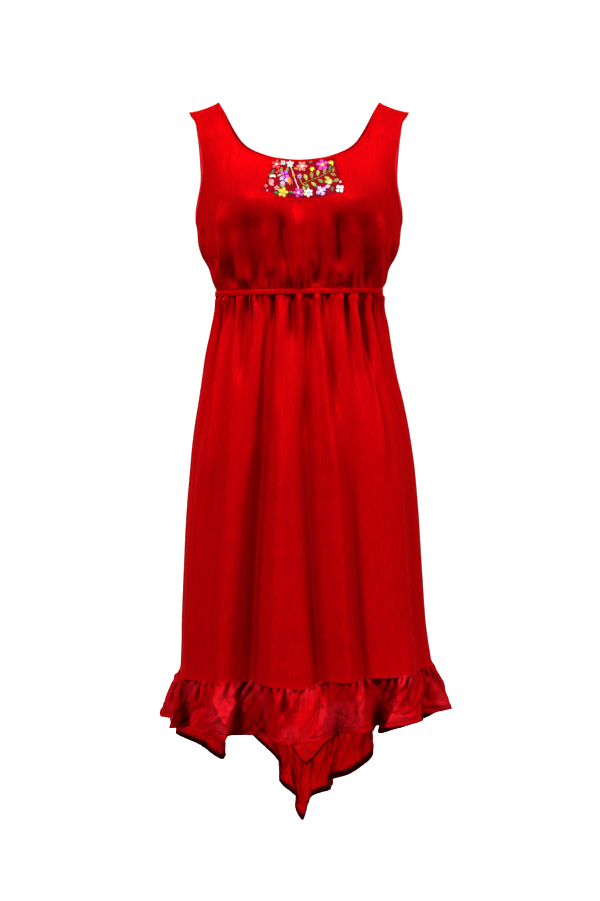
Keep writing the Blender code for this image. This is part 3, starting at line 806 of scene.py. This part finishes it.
def neckRing():
    t = np.linspace(0, 1, neck["columns"] + 1)
    rims = []
    for table, back in ((bodice["frontNeck"], False), (bodice["backNeck"], True)):
        lines = []
        for away in (0.0, yoke["edgeWidth"]):
            x, z = neckCurve(table, t, away)
            x[0] = neckEnd(away)
            x[-1] = -neckEnd(away)
            z[[0, -1]] = smooth(np.abs(x[[0, -1]]), bodice["shoulder"][:, 0], bodice["shoulder"][:, 1])
            angle = bodyAngle(x, z)
            line = bodyPoint(angle, z, back)
            out = bodyOut(angle, z, back)
            line[[0, -1], 1] = 0
            out[[0, -1], 1] = 0
            lines.append((line, unit(out)))
        rims.append(lines)
    (fi, fo), (bi, bo) = rims
    inner = np.concatenate([fi[0][::-1][:-1], bi[0][:-1]])
    outer = np.concatenate([fo[0][::-1][:-1], bo[0][:-1]])
    out = np.concatenate([fo[1][::-1][:-1], bo[1][:-1]])
    return inner, outer, out


inner, outer, out = neckRing()
turn = np.linspace(0, 2 * np.pi, neck["sides"], endpoint=False)
across = (0.5 - 0.5 * np.cos(turn))[None, :, None]
lift = (neck["thick"] * np.sin(turn))[None, :, None]
ripple = 1 + 0.12 * np.sin(np.arange(len(inner)) * 0.9)[:, None, None]
rings = inner[:, None] + (outer - inner)[:, None] * across + out[:, None] * lift * ripple
run = np.append(0, np.cumsum(np.linalg.norm(np.diff(inner, axis=0), axis=1))) / 1000
uv = np.stack(np.broadcast_arrays(across[..., 0] * 0.004, run[:, None]), -1)
neckEdge = rollShell("neckEdge", rings, [rightSide], uv)
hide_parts("neck_edge")

# skirt

skirt = {
    "wall": 0.9,
    "columns": 321,
    "rows": 112,
    "seamGroove": 1.6,
    "pressedSeam": 1.1,
    "gatherPitch": 4.6,
    "gatherDepth": 5.4,
    "foldGain": 1.9,
    "sections": np.array([  # height, centre, half width, front depth, back depth
        (-1080, 11, 199, 150, 166), (-960, 11, 197, 149, 161), (-870, 11, 194.5, 147, 156),
        (-832, 9, 191, 144, 153), (-795, 7, 188.5, 142, 150), (-721, 6, 184.5, 137, 145),
        (-646, 5.4, 180.5, 132, 141), (-572, 5.3, 174.5, 127, 137), (-535, 4.5, 170.5, 124, 135),
        (-498, 3.8, 165.2, 120, 132), (-460, 3, 158.2, 116, 127), (-423, 1.5, 150.4, 111, 120),
        (-386, 0.7, 143, 106, 110), (-349, 0.5, 134.5, 100, 99), (-310, 0, 127.5, 95, 91),
        (-293, 0, 128.0, 94, 90),
    ]),
    "folds": np.array([  # angle at top, at hem, width, depth, upper and lower height
        (-60, -64, 9, 5, -420, -900), (-38, -44, 9, 6, -380, -900), (-19, -29, 7, -11, -400, -900),
        (-8, -12, 8, 6, -400, -900), (1, 8, 6, -9, -360, -900), (15, 18, 7, 5, -420, -900),
        (25, 29, 6, -6, -450, -900), (45, 47, 10, 6, -430, -900), (66, 66, 8, -4, -430, -900),
        (112, 116, 9, -7, -400, -980), (132, 134, 9, 6, -400, -980), (150, 151, 8, -9, -380, -1000),
        (172, 169, 9, 6, -400, -1060), (188, 184, 8, -8, -400, -1060), (208, 208, 9, 6, -400, -1000),
        (228, 230, 9, -9, -380, -980), (250, 248, 9, 5, -400, -980),
    ]),
    "frontCreases": [
        (-81, -292, -84, -340, -88, -440, 6, -5.5),
        (-46, -292, -55, -386, -64, -520, 8, -6),
        (10, -292, 13, -370, 10, -520, 6, -5.5),
        (48, -292, 50, -380, 60, -500, 6, -5.5),
        (84, -292, 92, -330, 104, -440, 6, -3.5),
        (30, -310, 38, -430, 52, -600, 7, 6),
        (-30, -300, -34, -380, -40, -520, 8, 6),
        (-104, -320, -122, -440, -138, -640, 6, 6),
        (102, -340, 116, -430, 128, -580, 5, 5),
        (-50, -400, -74, -640, -98, -1000, 17, -13),
        (4, -400, 14, -640, 38, -1000, 11, -8),
        (-22, -400, -30, -640, -44, -1000, 14, 9),
        (78, -440, 90, -680, 112, -1000, 14, -6),
        (46, -400, 56, -600, 76, -1000, 12, 6),
        (138, -440, 150, -640, 166, -1000, 9, 5),
        (-128, -410, -146, -640, -162, -1000, 9, 6),
        (-108, -450, -124, -660, -136, -1000, 11, -7),
        (-154, -470, -158, -640, -165, -900, 2.0, -4.5),  # side seam seen from the front
    ],
    "backCreases": [
        (-60, -300, -66, -400, -78, -560, 6, -4.5),
        (-16, -300, -14, -380, -20, -500, 6, -4.5),
        (36, -300, 42, -400, 48, -540, 6, -4.0),
        (84, -300, 94, -360, 110, -470, 5, -4.0),
        (10, -340, 12, -460, 14, -640, 8, 4.0),
        (-100, -320, -116, -420, -130, -560, 6, 3.0),
        (-40, -560, -48, -700, -56, -880, 12, -3.5),
        (70, -580, 78, -720, 86, -880, 12, -3.5),
    ],
}
skirt["gathers"] = gatherRows(
    21, -sideSeam, 180 + sideSeam, skirt["gatherPitch"], skirt["gatherDepth"], (22, 150), (0.9, 1.8)
)
skirt["waves"] = gatherRows(22, -sideSeam, 180 + sideSeam, 10.5, 9.5, (150, 400), (2.4, 4.2))
ruffle = {
    "wall": 0.9,
    "middle": 11.0,  # x of the skirt's middle at the hem
    "columnsPerEdge": 27,
    "seamAllowance": 5.0,  # inside the skirt
    "swell": 3.2,  # the cloth leaves the seam outwards
    "hemWall": 1.0,  # more where the hem is doubled
    "stitchGroove": 1.1,
    "largeCrumples": (4.2, 22, 5.0),  # depth, length, width
    "smallCrumples": (1.9, 13, 2.4),
    "hemWidth": (6.0, 11.0),  # the back hem runs slantwise to the cloth
    "gatherPitch": 2.8,
    "gatherDepth": 9.0,
    "seam": np.array([  # angle, height of the seam
        (-180, -1058), (-172, -1024), (-160, -968), (-148, -950), (-134, -952), (-120, -925),
        (-105, -900), (-90, -878), (-50, -879.5), (-17, -877), (0, -883), (12, -873),
        (40, -870.5), (90, -867), (105, -892), (120, -916), (140, -946), (150, -968),
        (160, -996), (170, -1026), (180, -1058), (188, -1024), (200, -968), (212, -950),
        (226, -952), (240, -925), (255, -900), (270, -878),
    ]),
    "frontEdges": np.array([  # seam angle, hem x, hem y, hem height
        (-84, -214, -14, -948), (-76, -192, -27, -951), (-68, -197, -66, -956),
        (-61, -166, -46, -956), (-54, -163, -104, -953), (-45, -137, -122, -955),
        (-35, -110, -147, -957), (-28, -103, -112, -958), (-20, -52, -112, -958),
        (-13, -42, -163, -956), (-4, -12, -176, -959), (6, 30, -170, -954),
        (14, 58, -130, -950), (22, 92, -158, -946), (28, 107, -142, -944),
        (34, 112, -94, -947), (40, 129, -98, -946), (46, 130, -138, -941),
        (57, 166, -126, -938), (64, 184, -102, -936), (70, 182, -60, -934),
        (77, 208, -45, -936), (84, 236, -16, -936),
    ]),
    "backEdges": np.array([
        (84, 236, -16, -936), (92, 230, 24, -942), (102, 192, 42, -964), (112, 196, 84, -974),
        (122, 150, 84, -988), (132, 127, 104, -997), (138, 130, 152, -990), (144, 113, 150, -1012),
        (149, 118, 116, -1036), (156, 84, 134, -1068), (163, 46, 136, -1081), (168, 51, 170, -1102),
        (174, 20, 165, -1113), (180, 7, 160, -1149), (184, -6, 174, -1133), (188, -3, 153, -1111),
        (193, -31, 167, -1089), (198, -30, 134, -1052), (205, -66, 168, -1022),
        (212, -98, 200, -1006), (220, -118, 178, -1008), (226, -122, 112, -1040),
        (238, -160, 104, -1015), (250, -195, 80, -993), (258, -178, 40, -972),
        (266, -214, 22, -950), (276, -214, -14, -948),
    ]),
}


def seamHeight(angle):
    return smooth(angle, ruffle["seam"][:, 0], ruffle["seam"][:, 1])


def skirtPoint(angle, z, fine=True):
    rows = skirt["sections"]
    middle, half, front, back = (smooth(z, rows[:, 0], rows[:, i]) for i in range(1, 5))
    turn = np.radians(angle)
    across = np.sin(turn)
    along = np.cos(turn)
    deep = np.where(along > 0, front, back)
    lift = np.zeros(np.broadcast(angle, z).shape)
    for atTop, atHem, width, depth, high, low in skirt["folds"]:
        share = np.clip((z - high) / (low - high), 0, 1)
        off = turnGap(angle, atTop + (atHem - atTop) * share)
        grow = stepUp((high + 90 - z) / 260) * (0.45 + 0.55 * share)
        lift = lift + skirt["foldGain"] * depth * grow * np.exp(-((off / width) ** 2))
    if fine:
        below = casingLine(angle) - casing["height"] / 2 - z
        lift = lift + gatherLift(skirt["gathers"], angle, below, 55)
        lift = lift + gatherLift(skirt["waves"], angle, below, 300)
        flatX = middle + half * across
        lift = lift + np.where(along > 0, 1, 0) * creaseLift(skirt["frontCreases"], flatX, z)
        lift = lift + np.where(along > 0, 0, 1) * creaseLift(skirt["backCreases"], flatX, z)
    x = middle + (half + lift) * across
    y = -(deep + lift) * along
    return np.stack(np.broadcast_arrays(x, y, z), -1)


def skirtPanel(name, start, end, node):
    angle = np.linspace(start, end, skirt["columns"])
    share = np.linspace(0, 1, skirt["rows"]) ** 1.35
    top = casingLine(angle) - casing["height"] / 2 + casing["over"]
    z = top + (seamHeight(angle) - top) * share[:, None]
    points = skirtPoint(angle, z)
    out = gridNormals(points)
    side = np.minimum(angle - start, end - angle) * 2.9
    points = points - out * (skirt["seamGroove"] * np.exp(-(side / 3.2) ** 2))[None, :, None]
    above = z - seamHeight(angle)
    points = points + out * (skirt["pressedSeam"] * stepUp((5.5 - above) / 4))[..., None]
    uv = np.stack(np.broadcast_arrays(angle / 57.3 * 0.165, z / 1000), -1)
    panel = clothShell(name, points, gridNormals(points), skirt["wall"], clothSides, uv)
    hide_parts(node)
    return panel


skirtFront = skirtPanel("skirtFront", -sideSeam, sideSeam, "skirt_front")
skirtBack = skirtPanel("skirtBack", sideSeam, 360 - sideSeam, "skirt_back")
print("skirt made")

# waist casing with its elastic
angle = np.linspace(0, 360, casing["columns"], endpoint=False)
middle = skirtPoint(angle, casingLine(angle), False)
outward = unit(np.stack([np.sin(np.radians(angle)) / 128, -np.cos(np.radians(angle)) / 92, 0 * angle], -1))
rng = np.random.default_rng(31)
pucker = np.zeros(len(angle))
at = 0.0
while at < 358:
    pucker -= rng.uniform(0.15, 0.6) * np.exp(-(turnGap(angle, at) / 0.42) ** 2)
    at += rng.uniform(1.2, 5.2)
tuck = np.zeros(len(angle))  # the casing narrows a little at the deeper gathers
for place in (-55, -29, -7, 3, 24, 47, 60, 120, 151, 175, 202, 233, 262):
    tuck += 0.25 * np.exp(-(turnGap(angle, place) / 1.0) ** 2)
turn = np.linspace(0, 2 * np.pi, 16, endpoint=False)
tall = (casing["height"] / 2 * (1 - 0.12 * tuck))[:, None] * np.cos(turn)[None, :]
flat = np.sign(np.sin(turn)) * np.abs(np.sin(turn)) ** 0.6
proud = (casing["thick"] / 2 + 0.5 * pucker - 0.5 * tuck)[:, None] * flat[None, :] + 0.9
rings = middle[:, None] + outward[:, None] * proud[..., None]
rings[..., 2] += tall
run = np.radians(angle) * 0.115
uv = np.stack(np.broadcast_arrays(run[:, None], tall / 1000), -1)
waistCasing = rollShell("waistCasing", rings[:, ::-1], [rightSide], uv[:, ::-1])
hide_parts("waist_casing")
print("waist made")


# hem ruffle

ruffle["gathers"] = gatherRows(
    41, -sideSeam, 360 - sideSeam, ruffle["gatherPitch"], ruffle["gatherDepth"], (26, 80), (0.6, 1.3)
)


def ruffleGrid(edges, pieces, rows):
    count = len(edges) - 1
    t = np.linspace(0, count, count * pieces + 1)
    before = np.clip(np.floor(t).astype(int), 0, count - 1)
    part = (t - before)[:, None]
    padded = np.concatenate([edges[:1] * 2 - edges[1:2], edges, edges[-1:] * 2 - edges[-2:-1]])
    p0, p1, p2, p3 = (padded[before + i] for i in range(4))
    hem = p1 * (1 + 2 * part) * (1 - part) ** 2 + (p2 - p0) * 0.42 * part * (1 - part) ** 2
    hem = hem + p2 * part * part * (3 - 2 * part) + (p3 - p1) * 0.42 * part * part * (part - 1)
    angle = np.interp(t, np.arange(count + 1), edges[:, 0])
    return hem[:, 1:], angle, np.linspace(0, 1, rows) ** 0.9


def rufflePiece(name, edges, node, rows, crumples, seed, hemWidth):
    hem, angle, share = ruffleGrid(edges, ruffle["columnsPerEdge"], rows)
    seam = skirtPoint(angle, seamHeight(angle))
    middle = np.array([ruffle["middle"], 0, 0])
    seam = seam - unit((seam - middle) * (1, 1, 0)) * 0.9
    seam[:, 2] += ruffle["seamAllowance"]
    s = share[:, None, None]
    points = seam + (hem - seam) * s
    swell = unit((seam + hem) / 2 * (1, 1, 0) - middle * (1, 1, 0))
    points = points + swell * (ruffle["swell"] * np.sin(np.pi * s ** 0.8))
    out = gridNormals(points)
    down = runLength(points, 0) * 1000
    across = runLength(points, 1) * 1000
    u = np.broadcast_to(across[rows // 2], down.shape)
    lift = gatherLift(ruffle["gathers"], angle, down - 4, 34)
    lift = lift * np.where(lift > 0, stepUp((down - 4) / 22), stepUp((down - 3.5) / 5))
    keep = stepUp(down / 14) * stepUp((down.max(0) - down) / 10 + 0.25)
    lift = lift + keep * crumpleLift(seed, crumples, u, down, *ruffle["largeCrumples"])
    lift = lift + keep * crumpleLift(seed + 7, crumples * 2, u, down, *ruffle["smallCrumples"])
    ends = np.minimum(u - u[:, :1], u[:, -1:] - u)
    lift = lift * stepUp(ends / 6)
    left = down[-1:] - down
    lift = lift - ruffle["stitchGroove"] * np.exp(-((left - hemWidth) / 1.4) ** 2)
    points = points + out * lift[..., None]
    out = gridNormals(points)
    inHem = left < hemWidth
    wall = ruffle["wall"] + ruffle["hemWall"] * inHem
    uv = np.stack([u / 1000, -down / 1000], -1)
    piece = clothShell(
        name, points, out, wall, [ruffleSide, wrongSide, hemSide, hemInside], uv, hem=inHem,
    )
    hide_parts(node)
    row = int(np.argmin(np.abs(np.median(left, axis=1) - hemWidth)))
    return piece, (points[row], out[row])


ruffleFront, frontHemPath = rufflePiece(
    "ruffleFront", ruffle["frontEdges"], "ruffle_front", 52, 70, 51, ruffle["hemWidth"][0]
)
ruffleBack, backHemPath = rufflePiece(
    "ruffleBack", ruffle["backEdges"], "ruffle_back", 54, 110, 52, ruffle["hemWidth"][1]
)
print("ruffle made")

# sewing
hemStitches = {"corners": [], "faces": []}
for path, out in (frontHemPath, backHemPath):
    stitchRow(hemStitches, path + out * 0.45, out)
    stitchRow(hemStitches, path - out * 0.45, -out)
hemSewing = stitchObject("hemSewing", hemStitches)
edgeStitches = {"corners": [], "faces": []}
for path, out in armholePaths:
    stitchRow(edgeStitches, path + out * 0.75, out)
for path, out in insetPaths:
    stitchRow(edgeStitches, path + out * 0.45, out)
edgeSewing = stitchObject("armholeSewing", edgeStitches)
print("sewing made")

# embroidery

threadColours = {
    "red": (0.72, 0.02, 0.02), "white": (0.86, 0.84, 0.80), "salmon": (0.85, 0.20, 0.15),
    "pink": (0.86, 0.30, 0.32), "magenta": (0.72, 0.01, 0.36), "violet": (0.56, 0.07, 0.62),
    "lilac": (0.66, 0.42, 0.78), "yellow": (0.88, 0.66, 0.02), "orange": (0.84, 0.22, 0.02),
    "olive": (0.26, 0.25, 0.03), "lime": (0.44, 0.46, 0.05), "green": (0.04, 0.15, 0.03),
    "purple": (0.16, 0.02, 0.22),
}
embroidery = {
    "threadWidth": 0.55,
    "flowerGain": 1.22,
    "petalWidth": 3.9,
    "leafLong": 1.12,
    "leafWide": 1.25,
}
threadNames = list(threadColours)
threadMaterials = [
    finish(
        name + " thread", thread, {"Thread Colour": colour}, (0.5, 0.0002),
        {"Roughness": 0.38, "Specular IOR Level": 0.5},
    )
    for name, colour in threadColours.items()
]


def onYoke(x, z, up):
    angle = bodyAngle(x, z)
    return bodyPoint(angle, z) + bodyOut(angle, z) * np.asarray(up)[..., None]


def newBatch():
    return {"corners": [], "faces": [], "slots": [], "uv": [], "count": 0}


def satinPatch(batch, x, z, turn, long, wide, colour, form="petal", puff=0.8, bend=0.0):
    # One area of satin stitch: domed, ragged at the edge, threads across it.
    threads = max(5, int(long / embroidery["threadWidth"]))
    s, r = np.meshgrid(np.linspace(0.02, 0.98, threads * 2 + 1), np.linspace(-1, 1, 7), indexing="ij")
    if form == "petal":
        half = np.sin(np.pi * s ** 1.35) ** 0.62
    elif form == "leaf":
        half = np.sin(np.pi * s ** 0.85) ** 0.9
    elif form == "drop":
        half = np.sin(np.pi * s ** 1.9) ** 0.7
    else:
        half = np.sqrt(np.clip(1 - (2 * s - 1) ** 2, 0, 1))
    odd = (np.arange(len(s)) % 2)[:, None]
    half = half * wide / 2 * (1 + 0.07 * odd)
    along = s * long + (0.55 * np.abs(r) * half if form == "leaf" else 0)
    across = r * half + bend * long * (s - s * s)
    dome = puff * np.sqrt(np.clip(1 - r * r, 0, 1)) * np.sin(np.pi * s) ** 0.4 + 0.05 * odd
    if form == "leaf":
        dome = dome - 0.25 * puff * np.exp(-(r / 0.22) ** 2)
    spin = math.radians(turn)
    px = x + along * math.cos(spin) - across * math.sin(spin)
    pz = z + along * math.sin(spin) + across * math.cos(spin)
    top = onYoke(px, pz, dome + 0.2).reshape(-1, 3)
    rows, columns = s.shape
    i, j = np.meshgrid(np.arange(rows - 1), np.arange(columns - 1), indexing="ij")
    a = (i * columns + j).ravel() + batch["count"]
    faces = np.stack([a, a + columns, a + columns + 1, a + 1], -1).tolist()
    edge = list(range(columns)) + [k * columns + columns - 1 for k in range(1, rows)]
    edge += [(rows - 1) * columns + k for k in range(columns - 2, -1, -1)]
    edge += [k * columns for k in range(rows - 2, 0, -1)]
    low = onYoke(px.ravel()[edge], pz.ravel()[edge], np.full(len(edge), -0.1))
    first = batch["count"] + rows * columns
    for k in range(len(edge)):
        m = (k + 1) % len(edge)
        faces.append([edge[k] + batch["count"], edge[m] + batch["count"], first + m, first + k])
    faces.append([first + k for k in range(len(edge))])
    batch["corners"].append(np.concatenate([top, low]))
    batch["faces"] += faces
    batch["slots"] += [threadNames.index(colour)] * len(faces)
    place = np.stack([along, across], -1).reshape(-1, 2) / 1000
    batch["uv"].append(np.concatenate([place, place[edge]]))
    batch["count"] += len(top) + len(low)


def flower(batch, x, z, radius, petals, colour, heart, turn, puff=0.9):
    radius = radius * embroidery["flowerGain"]
    wide = radius * embroidery["petalWidth"] / (petals + 0.6)
    for k in range(petals):
        spin = turn + 360 * k / petals
        cx = x + 0.12 * radius * math.cos(math.radians(spin))
        cz = z + 0.12 * radius * math.sin(math.radians(spin))
        satinPatch(batch, cx, cz, spin, radius * 0.92, wide, colour, "petal", puff)
    if heart:
        spot(batch, x, z, radius * 0.62, heart, puff + 0.55)


def spot(batch, x, z, size, colour, puff=0.8):
    satinPatch(batch, x - size / 2, z, 0, size, size, colour, "round", puff)


def stem(batch, places, thick, colour):
    for (x0, z0), (x1, z1) in zip(places[:-1], places[1:]):
        long = math.hypot(x1 - x0, z1 - z0) + thick * 0.6
        turn = math.degrees(math.atan2(z1 - z0, x1 - x0))
        satinPatch(batch, x0, z0, turn, long, thick, colour, "round", 0.45)


def stitched(name, batch):
    piece = meshObject(
        name, np.concatenate(batch["corners"]), batch["faces"], threadMaterials,
        batch["slots"], np.concatenate(batch["uv"]), 60,
    )
    return piece


# places on the inset, x and height in mm
blooms = newBatch()
for row in (  # x, height, radius, petals, colour, heart, turn
    (-34, -101, 6.2, 5, "red", "white", 80),
    (-24, -98.5, 3.2, 4, "white", None, 45),
    (-13.5, -100, 4.6, 5, "white", None, 90),
    (4.5, -104, 6.4, 6, "salmon", "white", 60),
    (35, -101.5, 7.4, 5, "magenta", "yellow", 100),
    (-21.5, -117, 5.4, 4, "violet", None, 60),
    (-23, -126, 5.6, 3, "lilac", None, 250),
    (1, -119.5, 3.0, 6, "lilac", "purple", 90),
    (-24, -144, 6.0, 5, "yellow", "lime", 75),
    (-1, -144.5, 6.4, 5, "magenta", "white", 110),
    (14, -144.5, 5.6, 6, "white", "lilac", 90),
    (33, -142, 6.2, 4, "lilac", "white", 30),
    (61, -139, 5.2, 4, "white", None, 40),
    (-33, -137.5, 3.2, 5, "pink", "red", 90),
):
    flower(blooms, *row)
for row in (
    (-8, -118, 4.4, "orange"),
    (62, -128, 3.0, "white"),
    (46.5, -98, 4.6, "yellow"),
    (-47.5, -141.5, 3.0, "pink"),
):
    spot(blooms, *row)

buds = newBatch()
for x, z, turn, long, wide, colour, form in (
    (20, -113, 95, 7.5, 6.5, "yellow", "drop"),  # bud and its leaves
    (17, -110, 60, 5.5, 2.8, "yellow", "petal"),
    (23, -110, 120, 5.5, 2.8, "yellow", "petal"),
    (14.5, -99, 20, 6, 3.6, "green", "leaf"),
    (51, -104, 105, 9, 5, "yellow", "drop"),
    (53, -107, 250, 7, 2.2, "orange", "leaf"),
    (-13, -134, 108, 15, 8, "orange", "drop"),
    (-9, -134, 112, 12, 4, "red", "drop"),
    (-44, -133, 60, 10, 6.5, "pink", "petal"),
    (-41, -133, 105, 10, 5.5, "salmon", "petal"),
    (-38, -134, 140, 8, 5, "pink", "petal"),
    (-50, -138, 80, 6, 4, "salmon", "drop"),
    (-31, -112, 210, 5, 3.4, "red", "petal"),
    (-30, -108, 260, 6, 3.6, "red", "petal"),
    (38, -137, 20, 9, 5, "lilac", "petal"),
    (44, -132, 60, 7, 3, "white", "petal"),
):
    satinPatch(buds, x, z, turn, long, wide, colour, form)

leaves = newBatch()
stem(leaves, [(-17, -96), (-11, -108), (-7, -121), (-3, -132), (0, -139)], 1.3, "white")
stem(leaves, [(1, -122), (4, -130), (10, -134)], 1.1, "lime")
stem(leaves, [(4, -131), (16, -126), (30, -121), (44, -113), (53, -106)], 1.1, "olive")
for x, z, turn, long, wide, colour in (
    (12, -126, 110, 9.5, 4.2, "lime"), (20, -123, 100, 9.5, 4.0, "olive"),
    (28, -119, 85, 8.5, 3.8, "lime"), (37, -116, 75, 8.5, 3.6, "olive"),
    (45, -111, 70, 8.0, 3.4, "green"), (10, -130, 300, 8.0, 3.6, "olive"),
    (18, -128, 320, 8.5, 3.8, "lime"), (28, -124, 330, 8.5, 3.8, "olive"),
    (38, -120, 335, 8.5, 3.6, "lime"), (47, -115, 340, 8.0, 3.2, "olive"),
    (6, -134, 290, 7.0, 3.6, "lime"), (38, -128, 5, 11, 7.0, "lime"),
    (51, -127, 15, 8.5, 4.2, "olive"), (-26, -105, 265, 8, 3.6, "olive"),
    (-17, -105, 260, 7, 3.4, "olive"), (-38, -109, 250, 6.5, 3.2, "green"),
    (-44, -121, 40, 5.0, 3.0, "white"), (-35, -121, 140, 5.0, 3.0, "white"),
    (-46, -118, 20, 5.5, 3.0, "green"), (-33, -119, 20, 6, 2.8, "lime"),
    (-29, -132, 330, 8, 4.2, "olive"), (-38, -144, 350, 7.5, 3.6, "green"),
    (-16, -143, 350, 8.0, 3.4, "green"), (5, -147, 30, 6.5, 3.4, "lime"),
    (49, -143, 80, 6.5, 3.4, "green"), (-8, -107, 350, 6.5, 2.6, "orange"),
    (-30, -147, 10, 8.0, 3.0, "lime"), (23, -136, 10, 6.0, 3.0, "green"),
):
    long = long * embroidery["leafLong"]
    satinPatch(leaves, x, z, turn, long, wide * embroidery["leafWide"], colour, "leaf", 0.7)

embroideredBlooms = stitched("embroideredBlooms", blooms)
embroideredBuds = stitched("embroideredBuds", buds)
embroideredLeaves = stitched("embroideredLeaves", leaves)
print("embroidery made")

# floor, backdrop and light

studio = {
    "floor": -1320.0,
    "floorGlow": 0.85,
    "wallAway": 5200.0,
    "bend": 1200.0,
    "key": 164.0,
    "fill": 120.0,
    "top": 3.0,
    "backLeft": 105.0,
    "backRight": 80.0,
    "behindLow": 40.0,
    "sky": 0.09,
}


def roundSweep():  # floor that rises into a wall all round, past the camera
    rings = [(0.0, studio["floor"]), (1500.0, studio["floor"])]
    for k in range(13):
        turn = math.pi / 2 * k / 12
        away = studio["wallAway"] - studio["bend"] * (1 - math.sin(turn))
        rings.append((away, studio["floor"] + studio["bend"] * (1 - math.cos(turn))))
    rings.append((studio["wallAway"], 4200.0))
    sides = 64
    corners = []
    for away, height in rings:
        for k in range(sides):
            turn = 2 * math.pi * k / sides
            corners.append((max(away, 1.0) * math.cos(turn), max(away, 1.0) * math.sin(turn), height))
    faces = []
    for i in range(len(rings) - 1):
        for k in range(sides):
            m = (k + 1) % sides
            faces.append((i * sides + k, i * sides + m, (i + 1) * sides + m, (i + 1) * sides + k))
    mesh = bpy.data.meshes.new("floor")
    mesh.from_pydata([tuple(v / 1000 for v in c) for c in corners], [], faces)
    for polygon in mesh.polygons:
        polygon.use_smooth = True
    pale = bpy.data.materials.new("pale floor")
    pale.use_nodes = True
    principled = pale.node_tree.nodes["Principled BSDF"]
    principled.inputs["Base Color"].default_value = (0.9, 0.9, 0.9, 1)
    principled.inputs["Roughness"].default_value = 0.9
    principled.inputs["Emission Color"].default_value = (1, 1, 1, 1)
    principled.inputs["Emission Strength"].default_value = studio["floorGlow"]
    mesh.materials.append(pale)
    floor = bpy.data.objects.new("floor", mesh)
    floor.visible_diffuse = False  # the pale floor throws no light back into the folds
    floor.visible_glossy = False
    floor.visible_shadow = False
    scene.collection.objects.link(floor)


def softBox(name, place, aim, size, power):
    light = bpy.data.lights.new(name, "AREA")
    light.shape = "RECTANGLE"
    light.size, light.size_y = size
    light.energy = power
    box = bpy.data.objects.new(name, light)
    box.location = place
    box.rotation_euler = (Vector(aim) - Vector(place)).to_track_quat("-Z", "Y").to_euler()
    box.visible_camera = False
    box.visible_glossy = place[1] < 0  # the ones behind only light the cloth and the backdrop
    scene.collection.objects.link(box)


roundSweep()
for name, place, aim, size in (
    ("key", (-1.9, -2.4, 2.2), (0, 0, -0.5), (0.7, 0.7)),
    ("fill", (2.9, -1.9, 1.7), (0, 0, -0.55), (0.7, 0.7)),
    ("top", (0.5, -0.6, 1.9), (0, 0, -0.4), (0.8, 0.8)),
    ("backLeft", (-2.3, 2.4, 1.4), (0, 0, -0.6), (0.9, 0.9)),
    ("backRight", (2.3, 2.4, 1.4), (0, 0, -0.6), (0.9, 0.9)),
    ("behindLow", (0.2, 1.9, -1.5), (0, 0.1, -1.0), (0.8, 0.6)),
):
    softBox(name, place, aim, size, studio[name])
world = bpy.data.worlds.new("studio")
world.use_nodes = True
world.node_tree.nodes["Background"].inputs["Color"].default_value = (1, 1, 1, 1)
world.node_tree.nodes["Background"].inputs["Strength"].default_value = studio["sky"]
scene.world = world
scene.view_settings.view_transform = "Standard"
scene.view_settings.look = "None"
print("studio made")
